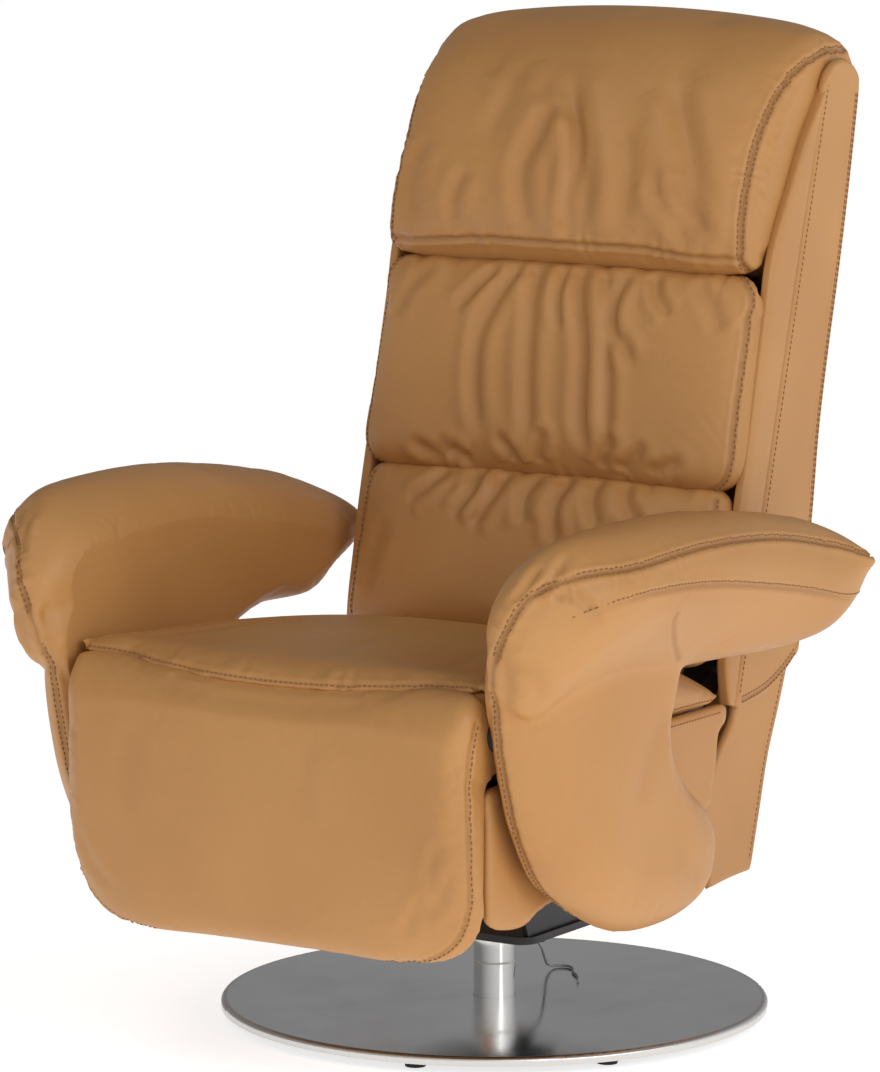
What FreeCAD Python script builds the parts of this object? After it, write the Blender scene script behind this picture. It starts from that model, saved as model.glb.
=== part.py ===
import FreeCAD, Part
import math
import os
from FreeCAD import Rotation, Vector

# Swivel recliner with a round disc base, in millimetres.
# The origin is on the floor, on the swivel axis. +Z is up, the chair faces -Y,
# and +X is the side of the chair's left arm.

# Clearances
SEAT_GAP = 0.3          # between faces that only rest against each other
PRESS_GAP = 0.03        # radial, between pieces of one body
RUN_GAP = 0.06          # radial, pin or spindle in its hole
SOFT_GAP = 0.8          # between a turning roll and the cushion cut round it

# Disc base
DISC_R = 300.0
DISC_TOP = 20.0
COVER_T = 1.5
RIM_BOTTOM = 10.0
RIM_ROUND = 5.0
PLATE_MARGIN = 3.0
FOOT_R = 13.0
FOOT_CIRCLE_R = 266.0
FOOT_COUNT = 8
FOOT_PHASE = 13.75
FLANGE_R = 60.0
FLANGE_T = 4.0
POST_R = 23.0
POST_BORE_R = 15.0
POST_TOP = 57.5
POST_BOLT_R = 4.0
POST_BOLT_CIRCLE_R = 45.0
POST_BOLT_COUNT = 4
POST_BOLT_HEAD_R = 6.5
POST_BOLT_HEAD_H = 3.5
POST_BOLT_GRIP = 6.0

# Swivel spindle and its bearings
SPINDLE_R = 12.0
SPINDLE_BOTTOM = 8.0
BUSH_LEN = 15.0
BUSH_BOTTOM = 12.0
CLIP_T = 2.0
CLIP_R = 14.5
WASHER_T = 2.0
COLLAR_TOP = 86.0
COLLAR_CHAMFER = 1.5
SWIVEL_PLATE_BOTTOM = 100.0
SWIVEL_PLATE_T = 8.0
SWIVEL_PLATE_HALF = 95.0
SWIVEL_PLATE_FRONT = -85.0
SWIVEL_PLATE_REAR = 80.0
SWIVEL_PLATE_ROUND = 20.0
STOP_TAB_X = 37.0
STOP_TAB_WIDTH = 16.0
STOP_TAB_Y = 28.0
STOP_TAB_T = 5.0
STOP_TAB_DROP = 22.0

# Seat frame
FRAME_BOTTOM = 293.0    # underside of the cross members
CROSS_H = 24.7
CROSS_WALL = 2.5
CROSS_FRONT_Y = -140.0
CROSS_REAR_Y = -40.0
CROSS_W = 30.0
CROSS_TUBE_R = 12.2
CROSS_TUBE_Y = -318.0
RAIL_INNER = 205.0
RAIL_W = 16.0
RAIL_H = 36.0
RAIL_WALL = 2.0
RAIL_FRONT = -345.0
RAIL_REAR = 70.0
TOWER_X = 84.0
TOWER_T = 6.0
WEB_T = 3.0
WEB_W = 55.0
WEB_COUNT = 5
WEB_FIRST_Y = -300.0
WEB_PITCH = 78.0

# Seat cushion and the side panels below it
CUSHION_HALF = 250.0
CUSHION_REAR = 58.0
CHEEK_T = 12.0
SIDE_PLATE_INNER = 253.0
SIDE_PLATE_T = 6.0
SIDE_BOLT_R = 5.0
SIDE_BOLT_HEAD_R = 9.0
SIDE_BOLT_YS = (-330.0, -185.0)
SIDE_SPACER_R = 8.0
ARM_BOLT_R = 4.0
ARM_BOLT_HEAD_R = 8.0
ARM_BOLT_DEPTH = 30.0
ARM_BOLT_POINTS = ((-362.0, 345.0), (-205.0, 380.0))

# Footrest: the panel hangs from a padded roll and swings forward
FOOT_HINGE_Y = -402.0
FOOT_HINGE_Z = 397.0
ROLL_R = 50.0
FOOT_TUBE_R = 10.0
FOOT_PIN_R = 6.0
FOOT_PIN_LEN = 30.0
PANEL_HALF = 251.0
PANEL_BOTTOM = 152.0
PANEL_REAR_Y = -412.0
PANEL_FRONT_Y = -456.0
PANEL_CORNER_R = 95.0
BOARD_T = 10.0
BOARD_MARGIN = 26.0
FOOT_LEVER_R = 70.0
FOOT_LEVER_BACK = 40.0  # degrees behind straight down, at rest
FOOT_RANGE = 80.0
LEVER_T = 8.0
LEVER_W = 16.0
LEVER_PIN_R = 4.0
FORK_T = 4.0
LEVER_HUB_R = 14.0
FORK_GAP = 1.0
FORK_WALL = 4.5
NECK_GAP = 2.5
NECK_LEN = 8.0
FORK_SWEEP_R = 30.0
PIN_HALF = LEVER_T / 2 + FORK_GAP + FORK_T + FORK_GAP
ROD_R = 7.0

# Back, in its own leaning frame: u is forward of the wing's piping, w is up along it
LEAN = 16.0
BACK_Y = 92.0
BACK_Z = 345.0
RECLINE_Y = 135.0
RECLINE_Z = 385.0
RECLINE_RANGE = 36.0
POST_X = 168.0
POST_W = 25.0
POST_D = 24.0
POST_FRONT_U = -18.0
BACK_POST_BOTTOM_W = 20.0
BACK_POST_WALL = 2.0
HINGE_PLATE_T = 4.7
BRACKET_T = 4.7
BOSS_R = 20.0
RECLINE_PIN_R = 6.0
RECLINE_PIN_HEAD_R = 10.0
BACK_TUBE_R = 11.0
BACK_LEVER_R = 120.0
BACK_LEVER_BACK = 10.0  # degrees behind straight down, at rest
BACK_CROSS_R = 10.0
BACK_CROSS_LOW_W = 240.0
BACK_CROSS_DROP = 15.7  # upper cross tube below the top of the posts
BACK_WEB_T = 3.5
BACK_WEB_W = 45.0
BACK_WEB_COUNT = 5
BACK_WEB_FIRST_W = 110.0
BACK_WEB_DROP = 29.7    # middle of the top strap below the top of the posts
PAD_BOTTOM_W = 76.0
PAD_DROP = 3.7          # top of the pad and the cushion below the top of the posts
PAD_HALF = 233.0
CUSHION_REAR_U = 1.0    # plane that the back's cushions rest on
WING_INNER = 236.0
WING_T = 11.0
SHELL_T = 11.0
SPLIT_RISE = 20.0       # from the head's hinge up to where the head section parts from the back
SPLIT_GAP = 2.0
SKIRT_T = 10.0
SKIRT_HALF = 235.5

# Head section and its hinge
HEAD_HINGE_U = 30.0
HEAD_HINGE_W = 464.0
HEAD_BARREL_R = 8.0
HEAD_PIN_R = 4.0
HEAD_LEAF_T = 4.0
HEAD_LEAF_HALF = 193.0
HEAD_KNUCKLES = ((-190.0, -140.0), (-50.0, 50.0), (140.0, 190.0))
HEAD_BOARD_HALF = 215.0
HEAD_BOARD_T = 12.0
HEAD_BOARD_FRONT_U = -38.0
HEAD_BOARD_RISE = 6.0   # bottom of the board above the split
HEAD_BOARD_TOP_W = 700.0
HEAD_LIP_DROP = 5.0     # underside of the head cushion below the split
HEAD_LIP_POINT = 9.0    # how much lower its front lip hangs

# Actuators under the seat
BACK_ACT_FRONT = -30.0
BACK_ACT_REAR = 62.0
FOOT_ACT_FRONT = -332.0
FOOT_ACT_REAR = -160.0
MOTOR_R = 20.0

# Low-voltage lead behind the column
CORD_R = 1.5
PLUG_R = 2.6

SIDES = (1, -1)

# Heights along the back that follow from the head's hinge
BACK_POST_TOP_W = HEAD_HINGE_W - HEAD_BARREL_R - HEAD_LEAF_T - SEAT_GAP
PAD_TOP_W = BACK_POST_TOP_W - PAD_DROP
SPLIT_W = HEAD_HINGE_W + SPLIT_RISE
HEAD_BOARD_BOTTOM_W = SPLIT_W + HEAD_BOARD_RISE

os.makedirs("parts", exist_ok=True)


def save(name, shape):
    """Write one sub-part's STEP file."""
    shape.exportStep("parts/" + name + ".step")


def box(x0, x1, y0, y1, z0, z1):
    return Part.makeBox(x1 - x0, y1 - y0, z1 - z0, Vector(x0, y0, z0))


def rod_x(r, x0, x1, y, z):
    """Cylinder along X."""
    return Part.makeCylinder(r, x1 - x0, Vector(x0, y, z), Vector(1, 0, 0))


def rod_y(r, y0, y1, x, z):
    return Part.makeCylinder(r, y1 - y0, Vector(x, y0, z), Vector(0, 1, 0))


def rod_z(r, z0, z1, x=0.0, y=0.0):
    return Part.makeCylinder(r, z1 - z0, Vector(x, y, z0))


def ring_z(r_in, r_out, z0, z1):
    return rod_z(r_out, z0, z1).cut(rod_z(r_in, z0 - 1, z1 + 1))


def path_wire(points, place):
    """Closed wire. A point is (a, b), and an item of two points is an arc through the first
    to the second."""
    edges = []
    last = place(*points[0])
    for item in points[1:]:
        if isinstance(item[0], tuple):
            end = place(*item[1])
            edges.append(Part.Arc(last, place(*item[0]), end).toShape())
        else:
            end = place(*item)
            edges.append(Part.LineSegment(last, end).toShape())
        last = end
    start = place(*points[0])
    if (last - start).Length > 1e-6:
        edges.append(Part.LineSegment(last, start).toShape())
    return Part.Wire(edges)


def yz_slab(points, x0, x1):
    """Outline in the YZ plane, extruded along X from x0 to x1."""
    wire = path_wire(points, lambda y, z: Vector(x0, y, z))
    return Part.Face(wire).extrude(Vector(x1 - x0, 0, 0))


def both(x_low, x_high, sign):
    """The X range of a side piece, given for +X."""
    if sign > 0:
        return x_low, x_high
    return -x_high, -x_low


def mirror(shape):
    """The same piece on the other side of the chair."""
    return shape.mirror(Vector(0, 0, 0), Vector(1, 0, 0))


def side_pair(name, shape):
    save(name + "_left", shape)
    save(name + "_right", mirror(shape))


def lean(shape):
    """Move a piece from the back's frame, where -Y is u and +Z is w, to the chair's."""
    turned = shape.copy()
    turned.Placement = FreeCAD.Placement(
        Vector(0, BACK_Y, BACK_Z), Rotation(Vector(1, 0, 0), -LEAN)
    )
    return turned


def unlean(y, z):
    """The u and w of a point given in the chair's frame."""
    c = math.cos(math.radians(LEAN))
    s = math.sin(math.radians(LEAN))
    return -(y - BACK_Y) * c + (z - BACK_Z) * s, (y - BACK_Y) * s + (z - BACK_Z) * c


def uw_slab(points, x0, x1):
    """Outline in the back's own plane, extruded along X and leaned."""
    wire = path_wire(points, lambda u, w: Vector(x0, -u, w))
    return lean(Part.Face(wire).extrude(Vector(x1 - x0, 0, 0)))


def uw_box(x0, x1, u0, u1, w0, w1):
    return lean(box(x0, x1, -u1, -u0, w0, w1))


def uw_rod(r, x0, x1, u, w):
    return lean(rod_x(r, x0, x1, -u, w))


def soft_edges(shape, radius, keep):
    """Fillet the edges that keep(edge) picks."""
    edges = [e for e in shape.Edges if keep(e)]
    return shape.makeFillet(radius, edges)


def upright(edge):
    return abs(edge.tangentAt(edge.FirstParameter).z) > 0.99


def lengthwise(edge):
    return abs(edge.tangentAt(edge.FirstParameter).y) > 0.99


def crosswise(edge):
    return abs(edge.tangentAt(edge.FirstParameter).x) > 0.99


def lever(hinge_y, hinge_z, reach, back_angle, width, x0, x1):
    """Flat lever that hangs from a hinge, with round ends."""
    a = math.radians(back_angle)
    down = (math.sin(a), -math.cos(a))
    across = (math.cos(a), math.sin(a))
    half = width / 2

    def at(along, side):
        return (
            hinge_y + down[0] * along + across[0] * side,
            hinge_z + down[1] * along + across[1] * side,
        )

    points = [
        at(0, half),
        (at(-half, 0), at(0, -half)),
        at(reach, -half),
        (at(reach + half, 0), at(reach, half)),
    ]
    return yz_slab(points, x0, x1)


def lever_pin(hinge_y, hinge_z, reach, back_angle, turned):
    """Where a lever's pin is after it has turned forward by this many degrees."""
    a = math.radians(back_angle - turned)
    return hinge_y + reach * math.sin(a), hinge_z - reach * math.cos(a)


def slotted_fork(hinge_y, hinge_z, reach, back_angle, travel):
    """Slotted fork round a lever's pin, for a push rod. The slot is as high as the pin's
    rise, and as wide as it strays from the rod's even travel."""
    turns = [travel * i / 24 for i in range(25)]
    places = [lever_pin(hinge_y, hinge_z, reach, back_angle, t) for t in turns]
    first, last = places[0][0], places[-1][0]
    stray = max(
        abs(p[0] - (first + (last - first) * t / travel)) for p, t in zip(places, turns)
    )
    low = min(p[1] for p in places)
    high = max(p[1] for p in places)
    z = (low + high) / 2
    slot_half_w = LEVER_PIN_R + stray + SEAT_GAP
    slot_half_h = LEVER_PIN_R + (high - low) / 2 + SEAT_GAP
    wall = FORK_WALL
    reach_out = max(slot_half_w + wall, LEVER_W / 2 + stray + NECK_GAP)
    inner = LEVER_T / 2 + FORK_GAP
    fork = None
    for sign in (1, -1):
        x0, x1 = both(inner, inner + FORK_T, sign)
        plate = box(
            x0, x1, first - reach_out, first + reach_out,
            z - slot_half_h - wall, z + slot_half_h + wall,
        )
        slot = box(
            x0 - 1, x1 + 1, first - slot_half_w, first + slot_half_w,
            z - slot_half_h + slot_half_w, z + slot_half_h - slot_half_w,
        )
        for end in (z - slot_half_h + slot_half_w, z + slot_half_h - slot_half_w):
            slot = slot.fuse(rod_x(slot_half_w, x0 - 1, x1 + 1, first, end))
        plate = plate.cut(slot)
        fork = plate if fork is None else fork.fuse(plate)
    return fork, first, z, reach_out, inner + FORK_T


# Disc base


def base_cover():
    """Polished skin that rolls down over the rim of the plate."""
    inner = POST_R + SEAT_GAP
    round_r = DISC_R - RIM_ROUND
    round_z = DISC_TOP - RIM_ROUND
    outside = RIM_ROUND * math.sqrt(0.5)
    inside = (RIM_ROUND - COVER_T) * math.sqrt(0.5)
    points = [
        (inner, DISC_TOP - COVER_T),
        (inner, DISC_TOP),
        (round_r, DISC_TOP),
        ((round_r + outside, round_z + outside), (DISC_R, round_z)),
        (DISC_R, RIM_BOTTOM),
        (DISC_R - COVER_T, RIM_BOTTOM),
        (DISC_R - COVER_T, round_z),
        ((round_r + inside, round_z + inside), (round_r, DISC_TOP - COVER_T)),
    ]
    wire = path_wire(points, lambda r, z: Vector(r, 0, z))
    return Part.Face(wire).revolve(Vector(0, 0, 0), Vector(0, 0, 1), 360)


def circle_points(radius, count, phase=0.0):
    step = 2 * math.pi / count
    start = math.radians(phase)
    return [
        (radius * math.cos(start + i * step), radius * math.sin(start + i * step))
        for i in range(count)
    ]


def base_weight_plate():
    outer = DISC_R - PLATE_MARGIN - RIM_ROUND / 2
    plate = ring_z(POST_R + SEAT_GAP, outer, RIM_BOTTOM, DISC_TOP - COVER_T)
    hole_top = RIM_BOTTOM + POST_BOLT_GRIP + SEAT_GAP
    for x, y in circle_points(POST_BOLT_CIRCLE_R, POST_BOLT_COUNT, 45):
        plate = plate.cut(rod_z(POST_BOLT_R + PRESS_GAP, RIM_BOTTOM - 1, hole_top, x, y))
    return plate


def base_feet():
    feet = []
    for x, y in circle_points(FOOT_CIRCLE_R, FOOT_COUNT, FOOT_PHASE):
        feet.append(Part.makeCone(FOOT_R - 2, FOOT_R, RIM_BOTTOM, Vector(x, y, 0)))
    return Part.makeCompound(feet)


def column_post():
    """Lower column tube, welded to the flange that is bolted under the plate."""
    flange_bottom = RIM_BOTTOM - FLANGE_T
    post = rod_z(POST_R, flange_bottom, POST_TOP)
    post = post.fuse(rod_z(FLANGE_R, flange_bottom, RIM_BOTTOM))
    post = post.cut(rod_z(POST_BORE_R, 0, POST_TOP + 1))
    for x, y in circle_points(POST_BOLT_CIRCLE_R, POST_BOLT_COUNT, 45):
        post = post.cut(rod_z(POST_BOLT_R + SEAT_GAP, 0, RIM_BOTTOM + 1, x, y))
    return post.removeSplitter()


def post_bolts():
    bolts = []
    head_top = RIM_BOTTOM - FLANGE_T
    for x, y in circle_points(POST_BOLT_CIRCLE_R, POST_BOLT_COUNT, 45):
        head = rod_z(POST_BOLT_HEAD_R, head_top - POST_BOLT_HEAD_H, head_top, x, y)
        bolts.append(head.fuse(rod_z(POST_BOLT_R, head_top, RIM_BOTTOM + POST_BOLT_GRIP, x, y)))
    return Part.makeCompound(bolts)


def column_bushes():
    upper = POST_TOP - BUSH_LEN
    bore = SPINDLE_R + RUN_GAP
    outer = POST_BORE_R - PRESS_GAP
    return Part.makeCompound([
        ring_z(bore, outer, BUSH_BOTTOM, BUSH_BOTTOM + BUSH_LEN),
        ring_z(bore, outer, upper, POST_TOP),
    ])


def make_base():
    save("base_cover", base_cover())
    save("base_weight_plate", base_weight_plate())
    save("base_feet", base_feet())
    save("column_post", column_post())
    save("post_bolts", post_bolts())
    save("column_bushes", column_bushes())
    washer = ring_z(SPINDLE_R + SEAT_GAP, POST_R - 0.5, POST_TOP, POST_TOP + WASHER_T)
    save("thrust_washer", washer)


# Swivel column and seat frame


def swivel_plate():
    """Plate on top of the spindle, with two stop tabs turned down behind the column."""
    top = SWIVEL_PLATE_BOTTOM + SWIVEL_PLATE_T
    plate = box(
        -SWIVEL_PLATE_HALF, SWIVEL_PLATE_HALF, SWIVEL_PLATE_FRONT, SWIVEL_PLATE_REAR,
        SWIVEL_PLATE_BOTTOM, top,
    )
    plate = soft_edges(plate, SWIVEL_PLATE_ROUND, upright)
    for sign in SIDES:
        x = sign * STOP_TAB_X
        plate = plate.fuse(box(
            x - STOP_TAB_WIDTH / 2, x + STOP_TAB_WIDTH / 2, STOP_TAB_Y, STOP_TAB_Y + STOP_TAB_T,
            SWIVEL_PLATE_BOTTOM - STOP_TAB_DROP, SWIVEL_PLATE_BOTTOM,
        ))
    plate = plate.cut(rod_z(SPINDLE_R + PRESS_GAP, SWIVEL_PLATE_BOTTOM - 1, top + 1))
    return plate.removeSplitter()


def make_column():
    top = SWIVEL_PLATE_BOTTOM + SWIVEL_PLATE_T
    save("swivel_spindle", rod_z(SPINDLE_R, SPINDLE_BOTTOM, top))
    clip_top = BUSH_BOTTOM - SEAT_GAP
    save("spindle_clip", ring_z(SPINDLE_R + PRESS_GAP, CLIP_R, clip_top - CLIP_T, clip_top))
    collar_bottom = POST_TOP + WASHER_T + SEAT_GAP
    collar = ring_z(SPINDLE_R + PRESS_GAP, POST_R, collar_bottom, COLLAR_TOP)
    top_rim = [
        e for e in collar.Edges
        if e.Length > 2 * math.pi * (POST_R - 1) and e.BoundBox.ZMin > COLLAR_TOP - 1
    ]
    save("column_collar", collar.makeChamfer(COLLAR_CHAMFER, top_rim))
    save("swivel_plate", swivel_plate())


def tube_box(x0, x1, y0, y1, z0, z1, wall, along):
    """Rectangular steel tube, open at both ends along X or Y."""
    outer = box(x0, x1, y0, y1, z0, z1)
    if along == "x":
        return outer.cut(box(x0 - 1, x1 + 1, y0 + wall, y1 - wall, z0 + wall, z1 - wall))
    return outer.cut(box(x0 + wall, x1 - wall, y0 - 1, y1 + 1, z0 + wall, z1 - wall))


RAIL_BOTTOM = FRAME_BOTTOM + CROSS_H + SEAT_GAP
RAIL_TOP = RAIL_BOTTOM + RAIL_H
RAIL_OUTER = RAIL_INNER + RAIL_W
CUSHION_BOTTOM = RAIL_TOP + WEB_T + 2 * SEAT_GAP
SIDE_BOLT_Z = RAIL_BOTTOM + RAIL_H / 2


def make_seat_frame():
    plates = []
    tower_top = FRAME_BOTTOM
    tower_bottom = SWIVEL_PLATE_BOTTOM + SWIVEL_PLATE_T
    outline = [
        (SWIVEL_PLATE_FRONT + 10, tower_bottom),
        (SWIVEL_PLATE_REAR - 20, tower_bottom),
        (SWIVEL_PLATE_REAR - 20, tower_bottom + 18),
        (-15.0, tower_bottom + 75),
        (CROSS_REAR_Y + CROSS_W, tower_top),
        (CROSS_FRONT_Y, tower_top),
        (CROSS_FRONT_Y, tower_top - 20),
    ]
    for sign in SIDES:
        x0, x1 = both(TOWER_X, TOWER_X + TOWER_T, sign)
        plates.append(yz_slab(outline, x0, x1))
    save("support_tower", Part.makeCompound(plates))

    bars = []
    for y in (CROSS_FRONT_Y, CROSS_REAR_Y):
        bars.append(tube_box(
            -RAIL_OUTER, RAIL_OUTER, y, y + CROSS_W,
            FRAME_BOTTOM, FRAME_BOTTOM + CROSS_H, CROSS_WALL, "x",
        ))
    tube_z = FRAME_BOTTOM + CROSS_H - CROSS_TUBE_R
    tube = rod_x(CROSS_TUBE_R, -RAIL_OUTER, RAIL_OUTER, CROSS_TUBE_Y, tube_z)
    bore_r = CROSS_TUBE_R - CROSS_WALL
    tube = tube.cut(rod_x(bore_r, -RAIL_OUTER - 1, RAIL_OUTER + 1, CROSS_TUBE_Y, tube_z))
    save("seat_cross_members", Part.makeCompound(bars + [tube]))

    rail = tube_box(
        RAIL_INNER, RAIL_OUTER, RAIL_FRONT, RAIL_REAR, RAIL_BOTTOM, RAIL_TOP, RAIL_WALL, "y"
    )
    hole_r = SIDE_BOLT_R + SEAT_GAP
    for y in SIDE_BOLT_YS:
        rail = rail.cut(rod_x(hole_r, RAIL_INNER - 1, RAIL_OUTER + 1, y, SIDE_BOLT_Z))
    side_pair("seat_rail", rail)

    straps = []
    for i in range(WEB_COUNT):
        y = WEB_FIRST_Y + WEB_PITCH * i
        straps.append(box(
            -RAIL_OUTER, RAIL_OUTER, y - WEB_W / 2, y + WEB_W / 2,
            RAIL_TOP + SEAT_GAP, RAIL_TOP + SEAT_GAP + WEB_T,
        ))
    save("seat_webbing", Part.makeCompound(straps))


# Soft pads


def crown_wire(half, low, side, crown, place, pull=36.0):
    """Closed outline of a pad: flat below, drawn-in sides and a crowned top."""
    shoulder = low + (side - low) * 0.5
    inner = half - pull
    top = side + (crown - side) * 0.3
    corner_x = half - pull * 0.22
    corner_top = shoulder + (top - shoulder) * 0.74
    points = [
        (-(half - 4), low),
        (half - 4, low),
        (half, shoulder),
        ((corner_x, corner_top), (inner, top)),
        ((0, crown), (-inner, top)),
        ((-corner_x, corner_top), (-half, shoulder)),
    ]
    return path_wire(points, place)


def seat_cushion():
    """Lofted from the roll of the footrest to the back, with a crown that falls away behind."""
    sections = (
        # y, half width, side height, crown height
        (FOOT_HINGE_Y, CUSHION_HALF, 440.0, 447.0),
        (-330.0, CUSHION_HALF, 438.0, 453.0),
        (-200.0, CUSHION_HALF, 431.0, 452.0),
        (-60.0, CUSHION_HALF, 410.0, 434.0),
        (10.0, CUSHION_HALF, 386.0, 412.0),
        (42.0, CUSHION_HALF - 3, 371.0, 396.0),
        (CUSHION_REAR, CUSHION_HALF - 10, 364.0, 378.0),
    )
    wires = []
    for y, half, side, crown in sections:
        wires.append(
            crown_wire(half, CUSHION_BOTTOM, side, crown, lambda x, z, y=y: Vector(x, y, z))
        )
    pad = Part.makeLoft(wires, True, False)
    end = CUSHION_HALF + 5
    pad = pad.cut(rod_x(ROLL_R + SOFT_GAP, -end, end, FOOT_HINGE_Y, FOOT_HINGE_Z))
    relief = LEVER_T / 2 + FORK_GAP + FORK_T + 2
    pin_y, _ = lever_pin(FOOT_HINGE_Y, FOOT_HINGE_Z, FOOT_LEVER_R, FOOT_LEVER_BACK, 0)
    front = pin_y - 24
    rear = pin_y + 24
    return pad.cut(box(-relief, relief, front, rear, CUSHION_BOTTOM - 1, CUSHION_BOTTOM + 8))


def seat_cheek():
    """Upholstered side panel below the cushion, with an arched lower edge."""
    top = CUSHION_BOTTOM - SEAT_GAP
    front = PANEL_REAR_Y + 5
    outline = [
        (front, 215.0),
        ((-396.0, 196.0), (-372.0, 188.5)),
        ((-338.0, 187.5), (-300.0, 200.0)),
        (27.0, 246.0),
        ((43.0, 268.0), (52.0, 293.0)),
        (58.0, 327.0),
        ((71.0, 335.0), (75.0, 348.0)),
        ((73.0, 354.0), (66.0, top)),
        (front, top),
    ]
    x0 = CUSHION_HALF - CHEEK_T
    x1 = CUSHION_HALF + 1
    cheek = yz_slab(outline, x0, CUSHION_HALF)
    cheek = cheek.cut(rod_x(ROLL_R + SOFT_GAP, x0 - 1, x1, FOOT_HINGE_Y, FOOT_HINGE_Z))
    for y in SIDE_BOLT_YS:
        cheek = cheek.cut(rod_x(SIDE_BOLT_R + SEAT_GAP, x0 - 1, x1, y, SIDE_BOLT_Z))
    return cheek


def side_plate():
    """Steel plate between cheek and arm: it carries the arm and the footrest's pivot."""
    x0 = SIDE_PLATE_INNER
    x1 = x0 + SIDE_PLATE_T
    outline = [
        (FOOT_HINGE_Y, FOOT_HINGE_Z + 18),
        (-300.0, 408.0),
        (-178.0, 408.0),
        (-165.0, 330.0),
        (-180.0, 292.0),
        (-335.0, 292.0),
        (FOOT_HINGE_Y - 6, FOOT_HINGE_Z - 17),
        ((FOOT_HINGE_Y - 18, FOOT_HINGE_Z), (FOOT_HINGE_Y, FOOT_HINGE_Z + 18)),
    ]
    plate = yz_slab(outline, x0, x1)
    plate = plate.cut(rod_x(FOOT_PIN_R + PRESS_GAP, x0 - 1, x1 + 1, FOOT_HINGE_Y, FOOT_HINGE_Z))
    for y in SIDE_BOLT_YS:
        plate = plate.cut(rod_x(SIDE_BOLT_R + SEAT_GAP, x0 - 1, x1 + 1, y, SIDE_BOLT_Z))
    for y, z in ARM_BOLT_POINTS:
        plate = plate.cut(rod_x(ARM_BOLT_R + PRESS_GAP, x0 - 1, x1 + 1, y, z))
    return plate


def side_plate_bolt(y):
    """Bolt through rail, cheek and plate, with the sleeves that space them."""
    z = SIDE_BOLT_Z
    head = rod_x(SIDE_BOLT_HEAD_R, RAIL_INNER - 5, RAIL_INNER - SEAT_GAP, y, z)
    bolt_end = SIDE_PLATE_INNER + SIDE_PLATE_T - SEAT_GAP
    bolt = head.fuse(rod_x(SIDE_BOLT_R, RAIL_INNER - 1, bolt_end, y, z))
    cheek_inner = CUSHION_HALF - CHEEK_T
    inner_sleeve = rod_x(SIDE_SPACER_R, RAIL_OUTER + SEAT_GAP, cheek_inner - SEAT_GAP, y, z)
    outer_sleeve = rod_x(
        SIDE_SPACER_R, CUSHION_HALF + SEAT_GAP, SIDE_PLATE_INNER - SEAT_GAP, y, z
    )
    return bolt.fuse(inner_sleeve).fuse(outer_sleeve).removeSplitter()


ARM_INNER = SIDE_PLATE_INNER + SIDE_PLATE_T + SEAT_GAP


def arm_bolt(y, z):
    head = rod_x(ARM_BOLT_HEAD_R, CUSHION_HALF + 0.4, SIDE_PLATE_INNER - 0.2, y, z)
    shank = rod_x(ARM_BOLT_R, CUSHION_HALF + 1, ARM_INNER + ARM_BOLT_DEPTH - 1, y, z)
    return head.fuse(shank)


def arm_pad():
    """Flared arm rest, lofted from the front nose over the rest to the overhanging tip.
    Each section is inner foot, inner shoulder, ridge, outer seam, flare and outer foot."""
    inner = ARM_INNER
    sections = (
        (-461.0, (279, 480), (281, 512), (290, 524), (298, 517), (304, 498), (297, 480)),
        (-448.0, (269, 440), (272, 520), (293, 547), (312, 540), (326, 500), (312, 440)),
        (-415.0, (inner, 395), (263, 542), (305, 582), (344, 562), (358, 512), (325, 425)),
        (-360.0, (inner, 390), (262, 558), (326, 602), (378, 572), (389, 530), (338, 445)),
        (-200.0, (inner, 400), (262, 562), (332, 604), (388, 578), (396, 532), (345, 455)),
        (-60.0, (264, 437), (265, 550), (334, 589), (391, 568), (398, 518), (364, 447)),
        (40.0, (268, 434), (269, 532), (334, 571), (391, 548), (397, 500), (380, 450)),
        (100.0, (278, 472), (279, 520), (336, 555), (387, 533), (393, 507), (379, 480)),
        (130.0, (300, 497), (302, 512), (335, 528), (368, 520), (374, 509), (364, 499)),
    )
    wires = []
    for y, foot_in, shoulder, ridge, seam, flare, foot_out in sections:
        points = [foot_in, shoulder, (ridge, seam), (flare, foot_out)]
        wires.append(path_wire(points, lambda x, z, y=y: Vector(x, y, z)))
    return Part.makeLoft(wires, True, False)


def arm_tongue():
    """S-shaped panel that hangs from the pad, lofted outwards with a bulging face."""
    centre_y = -245.0
    centre_z = 310.0
    outline = [
        (-449.0, 470.0),
        (-440.0, 400.0),
        ((-404.0, 292.0), (-321.0, 206.0)),
        ((-205.0, 159.0), (-90.0, 165.0)),
        ((-52.0, 192.0), (-51.0, 239.0)),
        ((-80.0, 274.0), (-131.0, 323.0)),
        ((-159.0, 372.0), (-145.0, 440.0)),
        (-145.0, 470.0),
    ]
    layers = (
        (ARM_INNER, 0.985),
        (ARM_INNER + 7, 1.0),
        (302.0, 0.985),
        (319.0, 0.92),
        (328.0, 0.78),
    )

    def scaled(point, k):
        return centre_y + (point[0] - centre_y) * k, centre_z + (point[1] - centre_z) * k

    wires = []
    for x, k in layers:
        points = []
        for item in outline:
            if isinstance(item[0], tuple):
                points.append((scaled(item[0], k), scaled(item[1], k)))
            else:
                points.append(scaled(item, k))
        wires.append(path_wire(points, lambda y, z, x=x: Vector(x, y, z)))
    return Part.makeLoft(wires, True, False)


def arm():
    shape = arm_pad().fuse(arm_tongue())
    shape = shape.cut(box(ARM_INNER - 20, ARM_INNER, -500, 200, 100, 700))
    for y, z in ARM_BOLT_POINTS:
        hole_end = ARM_INNER + ARM_BOLT_DEPTH
        shape = shape.cut(rod_x(ARM_BOLT_R + PRESS_GAP, ARM_INNER - 1, hole_end, y, z))
    return shape


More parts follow.
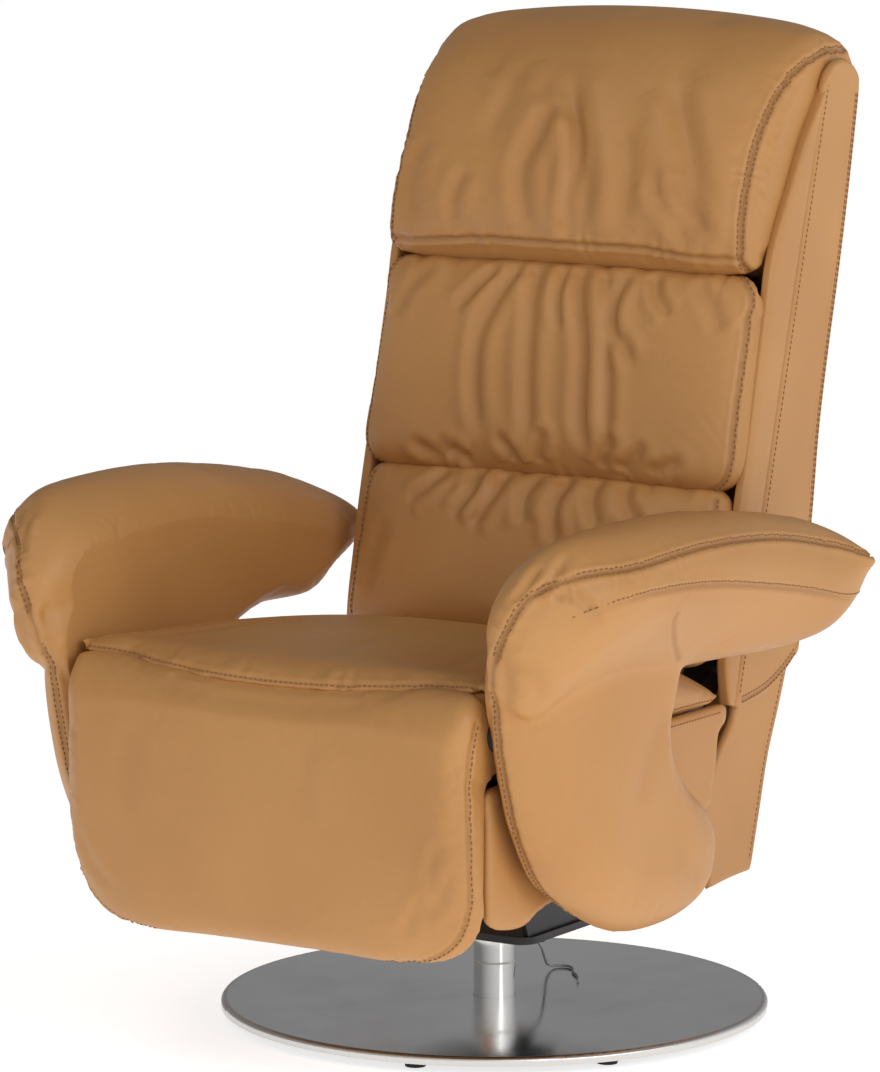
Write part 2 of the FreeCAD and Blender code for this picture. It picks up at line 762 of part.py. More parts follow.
def recline_bracket():
    """Plate welded inside the seat rail that rises to the recline pivot."""
    outline = [
        (-30.0, RAIL_BOTTOM + 2),
        (-30.0, RAIL_TOP - 2),
        (66.0, RAIL_TOP - 1),
        (RECLINE_Y - BOSS_R, RECLINE_Z - 3),
        ((RECLINE_Y + 2, RECLINE_Z + BOSS_R), (RECLINE_Y + BOSS_R, RECLINE_Z)),
        (
            (RECLINE_Y + BOSS_R * 0.75, RECLINE_Z - BOSS_R * 0.66),
            (RECLINE_Y + 6, RECLINE_Z - BOSS_R),
        ),
        (58.0, RAIL_BOTTOM + 2),
    ]
    x1 = RAIL_INNER - SEAT_GAP
    x0 = x1 - BRACKET_T
    plate = yz_slab(outline, x0, x1)
    return plate.cut(rod_x(RECLINE_PIN_R + PRESS_GAP, x0 - 1, x1 + 1, RECLINE_Y, RECLINE_Z))


def recline_pins():
    outer = RAIL_INNER + 4
    pins = []
    for sign in SIDES:
        shank_xs = both(POST_X + POST_W - 6, outer, sign)
        head_xs = both(RAIL_INNER, outer, sign)
        shank = rod_x(RECLINE_PIN_R, *shank_xs, RECLINE_Y, RECLINE_Z)
        head = rod_x(RECLINE_PIN_HEAD_R, *head_xs, RECLINE_Y, RECLINE_Z)
        pins.append(shank.fuse(head).removeSplitter())
    return pins


def footrest_pins():
    inner = SIDE_PLATE_INNER + SIDE_PLATE_T - SEAT_GAP - FOOT_PIN_LEN
    outer = SIDE_PLATE_INNER + SIDE_PLATE_T - SEAT_GAP
    return [
        rod_x(FOOT_PIN_R, *both(inner, outer, sign), FOOT_HINGE_Y, FOOT_HINGE_Z) for sign in SIDES
    ]


def make_seat_sides():
    save("seat_cushion", seat_cushion())
    side_pair("seat_cheek", seat_cheek())
    side_pair("side_plate", side_plate())
    side_pair("arm", arm())
    bolts = [side_plate_bolt(y) for y in SIDE_BOLT_YS]
    bolts += [arm_bolt(y, z) for y, z in ARM_BOLT_POINTS]
    save("side_bolts", Part.makeCompound(bolts + [mirror(b) for b in bolts]))
    side_pair("recline_bracket", recline_bracket())
    save("pivot_pins", Part.makeCompound(recline_pins() + footrest_pins()))


# Footrest


def footrest_panel():
    """Padded panel with rounded lower corners, hanging from a roll round the hinge."""
    roll = rod_x(ROLL_R, -PANEL_HALF, PANEL_HALF, FOOT_HINGE_Y, FOOT_HINGE_Z)
    depth = PANEL_REAR_Y - PANEL_FRONT_Y
    layers = (
        # share of the depth, inset of the outline, drop of its top below the hinge
        (0.0, 6.0, 0.0),
        (0.2, 0.0, 0.0),
        (0.62, 0.0, 0.0),
        (0.82, 5.0, 3.0),
        (0.91, 13.0, 14.0),
        (1.0, 36.0, 66.0),
    )
    k = 1 - math.sqrt(0.5)
    wires = []
    for share, inset, drop in layers:
        y = PANEL_REAR_Y - depth * share
        half = PANEL_HALF - inset
        bottom = PANEL_BOTTOM + inset
        r = PANEL_CORNER_R - inset * 0.5
        top = FOOT_HINGE_Z - drop
        points = [
            (-half, top),
            (-half, bottom + r),
            ((-half + r * k, bottom + r * k), (-half + r, bottom)),
            (half - r, bottom),
            ((half - r * k, bottom + r * k), (half, bottom + r)),
            (half, top),
        ]
        wires.append(path_wire(points, lambda x, z, y=y: Vector(x, y, z)))
    shape = roll.fuse(Part.makeLoft(wires, True, False))
    end = PANEL_HALF + 1
    shape = shape.cut(rod_x(FOOT_TUBE_R + PRESS_GAP, -end, end, FOOT_HINGE_Y, FOOT_HINGE_Z))
    slot = lever(
        FOOT_HINGE_Y, FOOT_HINGE_Z, FOOT_LEVER_R, FOOT_LEVER_BACK, LEVER_W + 1,
        -LEVER_T / 2 - SEAT_GAP, LEVER_T / 2 + SEAT_GAP,
    )
    hub = rod_x(
        LEVER_HUB_R + SEAT_GAP, -LEVER_T / 2 - SEAT_GAP, LEVER_T / 2 + SEAT_GAP,
        FOOT_HINGE_Y, FOOT_HINGE_Z,
    )
    pin_y, pin_z = lever_pin(FOOT_HINGE_Y, FOOT_HINGE_Z, FOOT_LEVER_R, FOOT_LEVER_BACK, 0)
    half = PIN_HALF + FORK_GAP
    return shape.cut(slot).cut(hub).cut(rod_x(FORK_SWEEP_R, -half, half, pin_y, pin_z))


def make_footrest():
    save("footrest_panel", footrest_panel())
    top = FOOT_HINGE_Z - ROLL_R - 2
    board = box(
        -PANEL_HALF + BOARD_MARGIN, PANEL_HALF - BOARD_MARGIN,
        PANEL_REAR_Y + SEAT_GAP, PANEL_REAR_Y + SEAT_GAP + BOARD_T,
        PANEL_BOTTOM + BOARD_MARGIN, top,
    )
    board = soft_edges(
        board, PANEL_CORNER_R - BOARD_MARGIN,
        lambda e: lengthwise(e) and e.BoundBox.ZMax < top - 1,
    )
    save("footrest_board", board)
    tube_end = PANEL_HALF - 1
    tube = rod_x(FOOT_TUBE_R, -tube_end, tube_end, FOOT_HINGE_Y, FOOT_HINGE_Z)
    bore_end = tube_end + 1
    bore_r = FOOT_PIN_R + RUN_GAP
    tube = tube.cut(rod_x(bore_r, -bore_end, bore_end, FOOT_HINGE_Y, FOOT_HINGE_Z))
    save("footrest_hinge_tube", tube)
    half = LEVER_T / 2
    plate = lever(
        FOOT_HINGE_Y, FOOT_HINGE_Z, FOOT_LEVER_R, FOOT_LEVER_BACK, LEVER_W, -half, half
    )
    plate = plate.fuse(rod_x(LEVER_HUB_R, -half, half, FOOT_HINGE_Y, FOOT_HINGE_Z))
    hole_r = FOOT_TUBE_R + PRESS_GAP
    plate = plate.cut(rod_x(hole_r, -LEVER_T, LEVER_T, FOOT_HINGE_Y, FOOT_HINGE_Z))
    pin_y, pin_z = lever_pin(FOOT_HINGE_Y, FOOT_HINGE_Z, FOOT_LEVER_R, FOOT_LEVER_BACK, 0)
    plate = plate.fuse(rod_x(LEVER_PIN_R, -PIN_HALF, PIN_HALF, pin_y, pin_z))
    save("footrest_lever", plate.removeSplitter())


# Actuators


def make_actuators():
    fork, y, z, reach, half = slotted_fork(
        FOOT_HINGE_Y, FOOT_HINGE_Z, FOOT_LEVER_R, FOOT_LEVER_BACK, FOOT_RANGE
    )
    foot_travel = 2 * (y - FOOT_HINGE_Y)
    neck = box(-half, half, y + reach, y + reach + NECK_LEN, z - ROD_R, z + ROD_R)
    rod_end = FOOT_ACT_FRONT + foot_travel + 25
    rod = fork.fuse(neck).fuse(rod_y(ROD_R, y + reach + 4, rod_end, 0, z))
    save("foot_rod", rod.removeSplitter())
    bottom = RAIL_BOTTOM
    top = RAIL_TOP - 2
    body = box(-18, 18, FOOT_ACT_FRONT, FOOT_ACT_REAR, bottom, top)
    body = soft_edges(body, 4.0, lengthwise)
    gearbox_rear = CROSS_FRONT_Y + CROSS_W - 2
    gearbox = box(-30, 32, FOOT_ACT_REAR, gearbox_rear, bottom, top)
    motor_y = (FOOT_ACT_REAR + gearbox_rear) / 2 + 1
    motor = rod_x(MOTOR_R - 3.5, 30, 105, motor_y, (bottom + top) / 2)
    body = body.fuse(gearbox).fuse(motor)
    body = body.cut(rod_y(ROD_R + RUN_GAP, FOOT_ACT_FRONT - 1, FOOT_ACT_REAR - 5, 0, z))
    save("foot_motor", body.removeSplitter())

    fork, y, z, reach, half = slotted_fork(
        RECLINE_Y, RECLINE_Z, BACK_LEVER_R, BACK_LEVER_BACK, RECLINE_RANGE
    )
    end_y, _ = lever_pin(
        RECLINE_Y, RECLINE_Z, BACK_LEVER_R, BACK_LEVER_BACK, RECLINE_RANGE
    )
    back_travel = y - end_y
    neck = box(-half, half, y - reach - NECK_LEN, y - reach, z - ROD_R, z + ROD_R)
    rod_start = BACK_ACT_FRONT + back_travel + 8
    rod = fork.fuse(neck).fuse(rod_y(ROD_R, rod_start, y - reach - 4, 0, z))
    save("back_rod", rod.removeSplitter())
    top = FRAME_BOTTOM - SEAT_GAP
    bottom = 2 * z - top
    body = box(-19, 19, BACK_ACT_FRONT, BACK_ACT_REAR, bottom, top)
    body = soft_edges(body, 4.0, lengthwise)
    gearbox = box(-26, 26, BACK_ACT_FRONT - 62, BACK_ACT_FRONT, bottom, top)
    motor = rod_z(MOTOR_R, bottom - 70, bottom + 5, 0, BACK_ACT_FRONT - 31)
    body = body.fuse(gearbox).fuse(motor)
    body = body.cut(rod_y(ROD_R + RUN_GAP, BACK_ACT_FRONT + 3, BACK_ACT_REAR + 1, 0, z))
    save("back_motor", body.removeSplitter())
    print("foot rod travel", round(foot_travel, 2), "back rod travel", round(back_travel, 2))


# Back


# Rear surface of the back, as its depth u at heights w below, at and above the split
SHELL_CURVE = (
    (-137.0, 70.0),
    (-131.0, 150.0),
    (-122.0, 240.0),
    (-110.0, 330.0),
    (-105.0, 420.0),
    (-103.0, 498.0),
    (-97.0, 610.0),
    (-89.0, 703.0),
)


def shell_depth(w):
    """Depth of the rear surface at height w: straight between the curve's points, and beyond
    its ends as steep as the run next to them."""
    (u0, w0), (u1, w1) = SHELL_CURVE[:2]
    for first, second in zip(SHELL_CURVE, SHELL_CURVE[1:]):
        if w >= first[1]:
            (u0, w0), (u1, w1) = first, second
    return u0 + (u1 - u0) * (w - w0) / (w1 - w0)


def shell_profile(inset, low, high):
    """Points of the rear surface from w = low up to w = high, moved forward by inset."""
    heights = [low] + [w for _, w in SHELL_CURVE if low < w < high] + [high]
    return [(shell_depth(w) + inset, w) for w in heights]


def make_back_frame():
    pivot_u, pivot_w = unlean(RECLINE_Y, RECLINE_Z)
    rear_u = POST_FRONT_U - POST_D
    post_outer = POST_X + POST_W
    post = uw_box(
        POST_X, post_outer, rear_u, POST_FRONT_U, BACK_POST_BOTTOM_W, BACK_POST_TOP_W
    )
    t = BACK_POST_WALL
    post = post.cut(uw_box(
        POST_X + t, post_outer - t, rear_u + t, POST_FRONT_U - t,
        BACK_POST_BOTTOM_W - 1, BACK_POST_TOP_W + 1,
    ))
    hole_r = RECLINE_PIN_R + RUN_GAP
    hole = rod_x(hole_r, POST_X + POST_W / 2, post_outer + 1, RECLINE_Y, RECLINE_Z)
    post = post.cut(hole)
    side_pair("back_post", post)

    plates = []
    x0 = post_outer + SEAT_GAP
    for sign in SIDES:
        xs = both(x0, x0 + HINGE_PLATE_T, sign)
        plate = uw_box(*xs, pivot_u - 15, pivot_u + 15, BACK_POST_BOTTOM_W, pivot_w + 65)
        plates.append(plate.cut(rod_x(hole_r, xs[0] - 1, xs[1] + 1, RECLINE_Y, RECLINE_Z)))
    save("back_hinge_plates", Part.makeCompound(plates))

    half = POST_X - SEAT_GAP
    tube = rod_x(BACK_TUBE_R, -half, half, RECLINE_Y, RECLINE_Z)
    drop = lever(
        RECLINE_Y, RECLINE_Z, BACK_LEVER_R, BACK_LEVER_BACK, LEVER_W, -LEVER_T / 2, LEVER_T / 2
    )
    pin_y, pin_z = lever_pin(RECLINE_Y, RECLINE_Z, BACK_LEVER_R, BACK_LEVER_BACK, 0)
    tube = tube.fuse(drop)
    tube = tube.fuse(rod_x(LEVER_PIN_R, -PIN_HALF, PIN_HALF, pin_y, pin_z))
    save("back_hinge_tube", tube.removeSplitter())

    cross_u = rear_u - SEAT_GAP - BACK_CROSS_R
    half = WING_INNER - SEAT_GAP
    tubes = [
        uw_rod(BACK_CROSS_R, -half, half, cross_u, w)
        for w in (BACK_CROSS_LOW_W, BACK_POST_TOP_W - BACK_CROSS_DROP)
    ]
    save("back_cross_tubes", Part.makeCompound(tubes))

    straps = []
    front = POST_FRONT_U + SEAT_GAP
    last = BACK_POST_TOP_W - BACK_WEB_DROP
    pitch = (last - BACK_WEB_FIRST_W) / (BACK_WEB_COUNT - 1)
    for i in range(BACK_WEB_COUNT):
        low = BACK_WEB_FIRST_W + pitch * i - BACK_WEB_W / 2
        straps.append(uw_box(
            -post_outer, post_outer, front, front + BACK_WEB_T, low, low + BACK_WEB_W
        ))
    save("back_webbing", Part.makeCompound(straps))
    pad_rear = front + BACK_WEB_T + SEAT_GAP
    save("back_pad", uw_box(
        -PAD_HALF, PAD_HALF, pad_rear, CUSHION_REAR_U - SEAT_GAP, PAD_BOTTOM_W, PAD_TOP_W
    ))


def shell_panel(low, high, half, thickness):
    """Padded rear panel between two heights, with rounded upright edges."""
    outer = shell_profile(0.0, low, high)
    inner = shell_profile(thickness, low, high)
    return uw_slab(outer + inner[::-1], -half, half)


def make_back_shell():
    wing_low = 85.0
    half = WING_INNER + WING_T
    top = SPLIT_W - SPLIT_GAP / 2
    save("back_rear_panel", shell_panel(wing_low, top, half, SHELL_T))
    inner = shell_profile(SHELL_T + SEAT_GAP, wing_low, top)
    outline = [(-1.0, 16.0), (-1.0, top)] + inner[::-1] + [
        ((-97.0, 49.0), (-61.0, 26.0)),
        ((-32.0, 10.0), (-8.0, 5.0)),
    ]
    wing = uw_slab(outline, WING_INNER, half)
    side_pair("back_wing", wing)

    hem = unlean(161.0, 157.0)
    knee = (-120.0, -30.0)
    t = SKIRT_T
    seam_w = wing_low - 0.5
    rear = [
        hem,
        knee,
        ((-129.0, 20.0), (-136.0, seam_w)),
        (-136.0 + t, seam_w),
        ((-129.0 + t, 20.0), (knee[0] + t, knee[1])),
        (hem[0] + t, hem[1] - 2.6),
    ]
    save("skirt_rear", uw_slab(rear, -SKIRT_HALF, SKIRT_HALF))
    gap = t + SEAT_GAP
    side = [
        (hem[0] + gap, hem[1] - 2.7),
        (knee[0] + gap, knee[1]),
        ((-129.0 + gap, 20.0), (-135.5 + gap, 76.0)),
        (-8.0, 76.0),
        (-8.0, 30.0),
        unlean(116.0, 345.0),
        unlean(82.0, 300.0),
        unlean(50.0, 246.0),
        unlean(64.0, 158.0),
    ]
    side_pair("skirt_side", uw_slab(side, SKIRT_HALF - SKIRT_T, SKIRT_HALF))


def stacked_pad(sections, rear_u):
    """Cushion of the back, lofted upwards. A section is w, half width, side and crown depth."""
    wires = []
    for w, half, side, crown in sections:
        wires.append(
            crown_wire(half, rear_u, side, crown, lambda x, u, w=w: Vector(x, -u, w))
        )
    return lean(Part.makeLoft(wires, True, False))


def make_back_cushions():
    save("lumbar_cushion", stacked_pad((
        (38.0, 220.0, 32.0, 50.0),
        (52.0, 231.0, 44.0, 72.0),
        (95.0, 234.0, 48.0, 81.0),
        (165.0, 234.0, 47.0, 82.0),
        (208.0, 232.0, 42.0, 76.0),
        (228.0, 222.0, 26.0, 52.0),
    ), CUSHION_REAR_U))
    top = PAD_TOP_W
    save("back_cushion", stacked_pad((
        (229.0, 232.0, 26.0, 54.0),
        (246.0, 244.0, 40.0, 76.0),
        (300.0, 247.0, 44.0, 87.0),
        (top - 68, 247.0, 44.0, 87.0),
        (top - 20, 245.0, 40.0, 77.0),
        (top, 232.0, 24.0, 48.0),
    ), CUSHION_REAR_U))


# Head section


def head_section(x, grow, crown):
    """Outline of the head cushion at one X. grow draws the front in or pushes it out, and
    crown does the same for the top."""
    rear = HEAD_BOARD_FRONT_U + 1
    low = SPLIT_W - HEAD_LIP_DROP
    top = HEAD_BOARD_TOP_W
    belly = low + 41
    brow = top - 32 + crown * 0.8
    points = [
        (rear, low + 2),
        (42.0, low + 1),
        (56.0 + grow * 0.2, low - HEAD_LIP_POINT),
        ((84.0 + grow * 0.9, low - 1), (94.0 + grow, belly)),
        ((91.0 + grow, (belly + brow) / 2), (62.0 + grow * 0.8, brow)),
        ((18.0 + grow * 0.2, top + 17 + crown), (-45.0, top + 38 + crown)),
        ((-77.0, top + 34 + crown * 0.8), (-90.0, top + 17 + crown * 0.4)),
        (-90.0, top + 4),
        (rear, top + 4),
    ]
    return path_wire(points, lambda u, w: Vector(x, -u, w))


def make_head():
    half = SKIRT_HALF
    sections = (
        # x, how far the front is pushed out, how far the crown is raised
        (half, -24.0, -6.0),
        (222.0, 0.0, 12.0),
        (110.0, 21.0, 26.0),
        (0.0, 29.0, 30.0),
        (-110.0, 21.0, 26.0),
        (-222.0, 0.0, 12.0),
        (-half, -24.0, -6.0),
    )
    cushion = Part.makeLoft([head_section(*s) for s in sections], True, False)
    save("head_cushion", lean(cushion))
    rear_u = HEAD_BOARD_FRONT_U - HEAD_BOARD_T
    save("head_board", uw_box(
        -HEAD_BOARD_HALF, HEAD_BOARD_HALF, rear_u, HEAD_BOARD_FRONT_U,
        HEAD_BOARD_BOTTOM_W, HEAD_BOARD_TOP_W,
    ))
    low = SPLIT_W + SPLIT_GAP / 2
    top = HEAD_BOARD_TOP_W + 3
    full = WING_INNER + WING_T
    save("head_rear_panel", shell_panel(low, top, full, SHELL_T))
    inner = shell_profile(SHELL_T + SEAT_GAP, low, top)
    board_top = HEAD_BOARD_TOP_W
    outline = [
        (-1.0, low),
        (-1.0, board_top - 8),
        ((-13.0, board_top + 17), (-45.0, board_top + 31)),
        ((-70.0, board_top + 25), inner[-1]),
    ]
    outline += inner[::-1][1:]
    side_pair("head_wing", uw_slab(outline, WING_INNER, full))

    barrel_top = HEAD_HINGE_W + HEAD_BARREL_R
    barrel_low = HEAD_HINGE_W - HEAD_BARREL_R
    bore = HEAD_PIN_R + RUN_GAP
    leaf = HEAD_LEAF_HALF
    leaf_rear = rear_u - SEAT_GAP
    lower = uw_box(
        -leaf, leaf, POST_FRONT_U - POST_D, HEAD_HINGE_U, barrel_low - HEAD_LEAF_T, barrel_low + 1
    )
    upper = uw_box(
        -leaf, leaf, leaf_rear - HEAD_LEAF_T, HEAD_HINGE_U, barrel_top - 1,
        barrel_top + HEAD_LEAF_T - 1,
    )
    upper = upper.fuse(uw_box(
        -leaf, leaf, leaf_rear - HEAD_LEAF_T, leaf_rear, barrel_top - 1, HEAD_BOARD_BOTTOM_W + 50
    ))
    clear = HEAD_BARREL_R + 1
    lower_spans = [(a[1] + 1, b[0] - 1) for a, b in zip(HEAD_KNUCKLES, HEAD_KNUCKLES[1:])]
    for x0, x1 in HEAD_KNUCKLES:
        lower = lower.cut(uw_rod(clear, x0 - 1, x1 + 1, HEAD_HINGE_U, HEAD_HINGE_W))
        upper = upper.fuse(uw_rod(HEAD_BARREL_R, x0, x1, HEAD_HINGE_U, HEAD_HINGE_W))
    for x0, x1 in lower_spans:
        upper = upper.cut(uw_rod(clear, x0 - 1, x1 + 1, HEAD_HINGE_U, HEAD_HINGE_W))
        lower = lower.fuse(uw_rod(HEAD_BARREL_R, x0, x1, HEAD_HINGE_U, HEAD_HINGE_W))
    end = HEAD_KNUCKLES[-1][1]
    upper = upper.cut(uw_rod(bore, -end - 1, end + 1, HEAD_HINGE_U, HEAD_HINGE_W))
    lower = lower.fuse(uw_rod(HEAD_PIN_R, -end, end, HEAD_HINGE_U, HEAD_HINGE_W))
    save("head_hinge_lower", lower.removeSplitter())
    save("head_hinge_upper", upper.removeSplitter())


# Lead behind the column


def rounded_path(points, share=0.45):
    """Straight runs joined by tangent arcs, each as large as its two runs allow."""
    edges = []
    last = points[0]
    radii = []
    for a, b, c in zip(points, points[1:], points[2:]):
        before = (a - b)
        after = (c - b)
        cut = share * min(before.Length, after.Length)
        start = b + before.normalize() * cut
        end = b + after.normalize() * cut
        half_turn = (math.pi - before.getAngle(after)) / 2
        radius = cut / math.tan(half_turn)
        radii.append(round(radius, 1))
        bisector = (before + after).normalize()
        centre = b + bisector * (radius / math.cos(half_turn))
        middle = centre - bisector * radius
        edges.append(Part.LineSegment(last, start).toShape())
        edges.append(Part.Arc(start, middle, end).toShape())
        last = end
    edges.append(Part.LineSegment(last, points[-1]).toShape())
    return Part.Wire(edges), radii


LEAD_ROUTE = (
    Vector(0.0, 60.0, 70.4),
    Vector(10.0, 63.0, 73.5),
    Vector(14.5, 75.0, 62.0),
    Vector(7.0, 92.0, 48.0),
    Vector(-2.0, 110.0, 38.0),
    Vector(-12.0, 130.0, 27.0),
    Vector(-14.0, 147.0, 21.9),
    Vector(-2.0, 158.0, 21.9),
    Vector(12.0, 149.0, 21.9),
    Vector(20.0, 132.0, 21.9),
    Vector(37.0, 118.0, 21.9),
    Vector(50.0, 94.0, 21.9),
)
LEAD_BLOCK_HALF = 10.5
LEAD_BLOCK_DROP = 24.0
PLUG_LEN = 16.0
PLUG_GAP = 0.75         # the lead leaves the plug at a slant


def make_lead():
    """Black block and connector under the swivel plate, and the thin lead from the plug."""
    under = SWIVEL_PLATE_BOTTOM - SEAT_GAP
    start = LEAD_ROUTE[0]
    low = under - LEAD_BLOCK_DROP
    block = box(-LEAD_BLOCK_HALF, LEAD_BLOCK_HALF, start.y - 8, start.y + 8, low, under)
    block = soft_edges(block, 2.5, upright)
    connector = box(
        LEAD_BLOCK_HALF + SEAT_GAP, LEAD_BLOCK_HALF + 25, start.y - 9, start.y + 9,
        under - 12, under,
    )
    connector = soft_edges(connector, 5.5, crosswise)
    save("lead_housings", Part.makeCompound([block, connector]))
    plug = rod_x(PLUG_R, start.x - PLUG_LEN, start.x - PLUG_GAP, start.y, start.z)
    clip = rod_x(PLUG_R + 1.5, start.x - 9, start.x - 4, start.y, start.z)
    stem = box(start.x - 9, start.x - 4, start.y - 2, start.y + 2, start.z, low - SEAT_GAP)
    clip = clip.fuse(stem)
    save("lead_plug", plug.fuse(clip).removeSplitter())
    wire, radii = rounded_path(list(LEAD_ROUTE))
    first = (LEAD_ROUTE[1] - LEAD_ROUTE[0]).normalize()
    ring = Part.Wire(Part.makeCircle(CORD_R, LEAD_ROUTE[0], first))
    tube = wire.makePipeShell([ring], True, True)
    save("lead_cord", tube)
    ideal = math.pi * CORD_R ** 2 * wire.Length
    print("lead radii", radii, "length", round(wire.Length, 1))
    print("lead volume ratio", round(tube.Volume / ideal, 4))


make_base()
make_column()
make_seat_frame()
make_seat_sides()
make_footrest()
make_actuators()
make_back_frame()
make_back_shell()
make_back_cushions()
make_head()
make_lead()
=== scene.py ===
import math

import bmesh
import bpy
import numpy as np
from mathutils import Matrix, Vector
from mathutils.bvhtree import BVHTree


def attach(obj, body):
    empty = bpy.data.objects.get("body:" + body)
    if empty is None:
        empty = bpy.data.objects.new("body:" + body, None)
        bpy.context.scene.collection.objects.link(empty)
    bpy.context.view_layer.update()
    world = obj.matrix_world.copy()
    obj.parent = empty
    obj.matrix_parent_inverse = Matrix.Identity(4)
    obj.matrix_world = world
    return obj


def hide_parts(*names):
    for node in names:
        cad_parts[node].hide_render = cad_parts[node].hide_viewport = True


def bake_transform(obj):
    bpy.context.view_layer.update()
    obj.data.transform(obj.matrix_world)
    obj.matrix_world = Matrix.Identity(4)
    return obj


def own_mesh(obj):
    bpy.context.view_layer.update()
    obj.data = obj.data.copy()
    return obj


bl_info = {
    "name": "Swivel recliner with a disc base",
    "version": (1, 0, 0),
    "blender": (4, 5, 0),
    "location": "3D View > Sidebar > Recliner",
    "description": "Leather covers, seams and finishes of a swivel recliner round its packed frame",
    "category": "Object",
}

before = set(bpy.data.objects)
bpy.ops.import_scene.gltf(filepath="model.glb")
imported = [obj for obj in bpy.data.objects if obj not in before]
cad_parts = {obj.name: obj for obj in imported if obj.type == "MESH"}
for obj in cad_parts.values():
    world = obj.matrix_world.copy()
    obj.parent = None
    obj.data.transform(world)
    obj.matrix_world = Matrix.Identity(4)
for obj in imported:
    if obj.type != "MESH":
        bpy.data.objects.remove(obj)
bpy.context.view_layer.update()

MM = 0.001

# The back leans: u is forward of the wing's piping, and w is up along it
LEAN = math.radians(16.0)
BACK_Y = 92.0
BACK_Z = 345.0

# Footrest hinge
HINGE_Y = -402.0
HINGE_Z = 397.0


def linear(code):
    """Hex sRGB to linear: below the knee c / 12.92, above it ((c + 0.055) / 1.055) ^ 2.4."""
    values = [int(code[i:i + 2], 16) / 255 for i in (1, 3, 5)]
    return tuple(c / 12.92 if c <= 0.04045 else ((c + 0.055) / 1.055) ** 2.4 for c in values)


# Shapes


def leaned(x, u, w):
    """From the back's frame to the chair's: y = back line - u cos + w sin of the lean,
    and z = seat line + u sin + w cos."""
    x, u, w = np.broadcast_arrays(*(np.asarray(v, float) for v in (x, u, w)))
    c, s = math.cos(LEAN), math.sin(LEAN)
    return np.stack([x, BACK_Y - u * c + w * s, BACK_Z + u * s + w * c], -1)


def curve_through(points, count, closed=False):
    """Catmull-Rom curve through the points, a cubic whose slope at each point is half the
    step between its neighbours, sampled at even lengths."""
    p = np.asarray(points, float)
    if closed:
        p = np.vstack([p[-1:], p, p[:2]])
    else:
        p = np.vstack([2 * p[0] - p[1], p, 2 * p[-1] - p[-2]])
    spans = len(p) - 3
    t = np.linspace(0, spans, 24 * spans + 1)
    i = np.minimum(t.astype(int), spans - 1)
    f = (t - i)[:, None]
    a, b, c, d = p[i], p[i + 1], p[i + 2], p[i + 3]
    q = 0.5 * (2 * b + (c - a) * f + (2 * a - 5 * b + 4 * c - d) * f ** 2
               + (3 * b - a - 3 * c + d) * f ** 3)
    run = np.concatenate([[0], np.cumsum(np.linalg.norm(np.diff(q, axis=0), axis=1))])
    at = np.linspace(0, run[-1], count, endpoint=not closed)
    return np.stack([np.interp(at, run, q[:, k]) for k in range(q.shape[1])], -1)


def smooth_table(x, xs, values):
    """Cubic through a table's knots, whose slope at each is that of its neighbours."""
    xs = np.asarray(xs, float)
    values = np.asarray(values, float)
    i = np.clip(np.searchsorted(xs, x) - 1, 0, len(xs) - 2)
    slope = np.gradient(values, xs)
    h = xs[i + 1] - xs[i]
    f = np.clip((x - xs[i]) / h, 0, 1)
    return (values[i] * (2 * f ** 3 - 3 * f ** 2 + 1) + slope[i] * h * (f ** 3 - 2 * f ** 2 + f)
            + values[i + 1] * (3 * f ** 2 - 2 * f ** 3) + slope[i + 1] * h * (f ** 3 - f ** 2))


def drawn_in(loop, inset):
    """Closed loop moved inwards along its own normals, the tangents turned a quarter."""
    along = np.roll(loop, -1, 0) - np.roll(loop, 1, 0)
    along /= np.maximum(np.linalg.norm(along, axis=1, keepdims=True), 1e-9)
    normal = np.stack([along[:, 1], -along[:, 0]], -1)
    area = np.sum(loop[:, 0] * np.roll(loop[:, 1], -1) - np.roll(loop[:, 0], -1) * loop[:, 1])
    return loop - normal * np.reshape(inset, (-1, 1)) * np.sign(area)


def eased(count, share=0.5):
    """Steps from 0 to 1, even ones mixed with a half cosine that crowds them at the ends."""
    s = np.linspace(0, 1, count)
    return (1 - share) * s + share * (0.5 - 0.5 * np.cos(math.pi * s))


def mesh_object(name, points, faces):
    """Mesh from points in millimetres, turned right side out by the sign of its volume."""
    mesh = bpy.data.meshes.new(name)
    mesh.from_pydata((points * MM).tolist(), [], faces)
    work = bmesh.new()
    work.from_mesh(mesh)
    bmesh.ops.remove_doubles(work, verts=work.verts, dist=0.00002)
    if work.calc_volume(signed=True) < 0:
        bmesh.ops.reverse_faces(work, faces=work.faces)
    work.to_mesh(mesh)
    work.free()
    mesh.update()
    made = bpy.data.objects.new(name, mesh)
    bpy.context.scene.collection.objects.link(made)
    return made


def grid_faces(rows, columns, first=0, wrap=False):
    """Quads between neighbouring points of a grid, numbered row by row."""
    i, j = np.meshgrid(np.arange(rows - 1), np.arange(columns if wrap else columns - 1),
                       indexing="ij")
    k = (j + 1) % columns
    quads = np.stack([i * columns + j, i * columns + k,
                      (i + 1) * columns + k, (i + 1) * columns + j], -1)
    return (quads.reshape(-1, 4) + first).tolist()


def skinned(name, rows):
    """Closed loops joined by quads, with the first and last loop fanned onto their middles."""
    count, around, _ = rows.shape
    points = np.vstack([rows.reshape(-1, 3), rows[:1].mean(1), rows[-1:].mean(1)])
    faces = grid_faces(count, around, wrap=True)
    a = np.arange(around)
    b = (a + 1) % around
    last = (count - 1) * around
    faces += np.stack([b, a, np.full(around, count * around)], -1).tolist()
    faces += np.stack([last + a, last + b, np.full(around, count * around + 1)], -1).tolist()
    return mesh_object(name, points, faces)


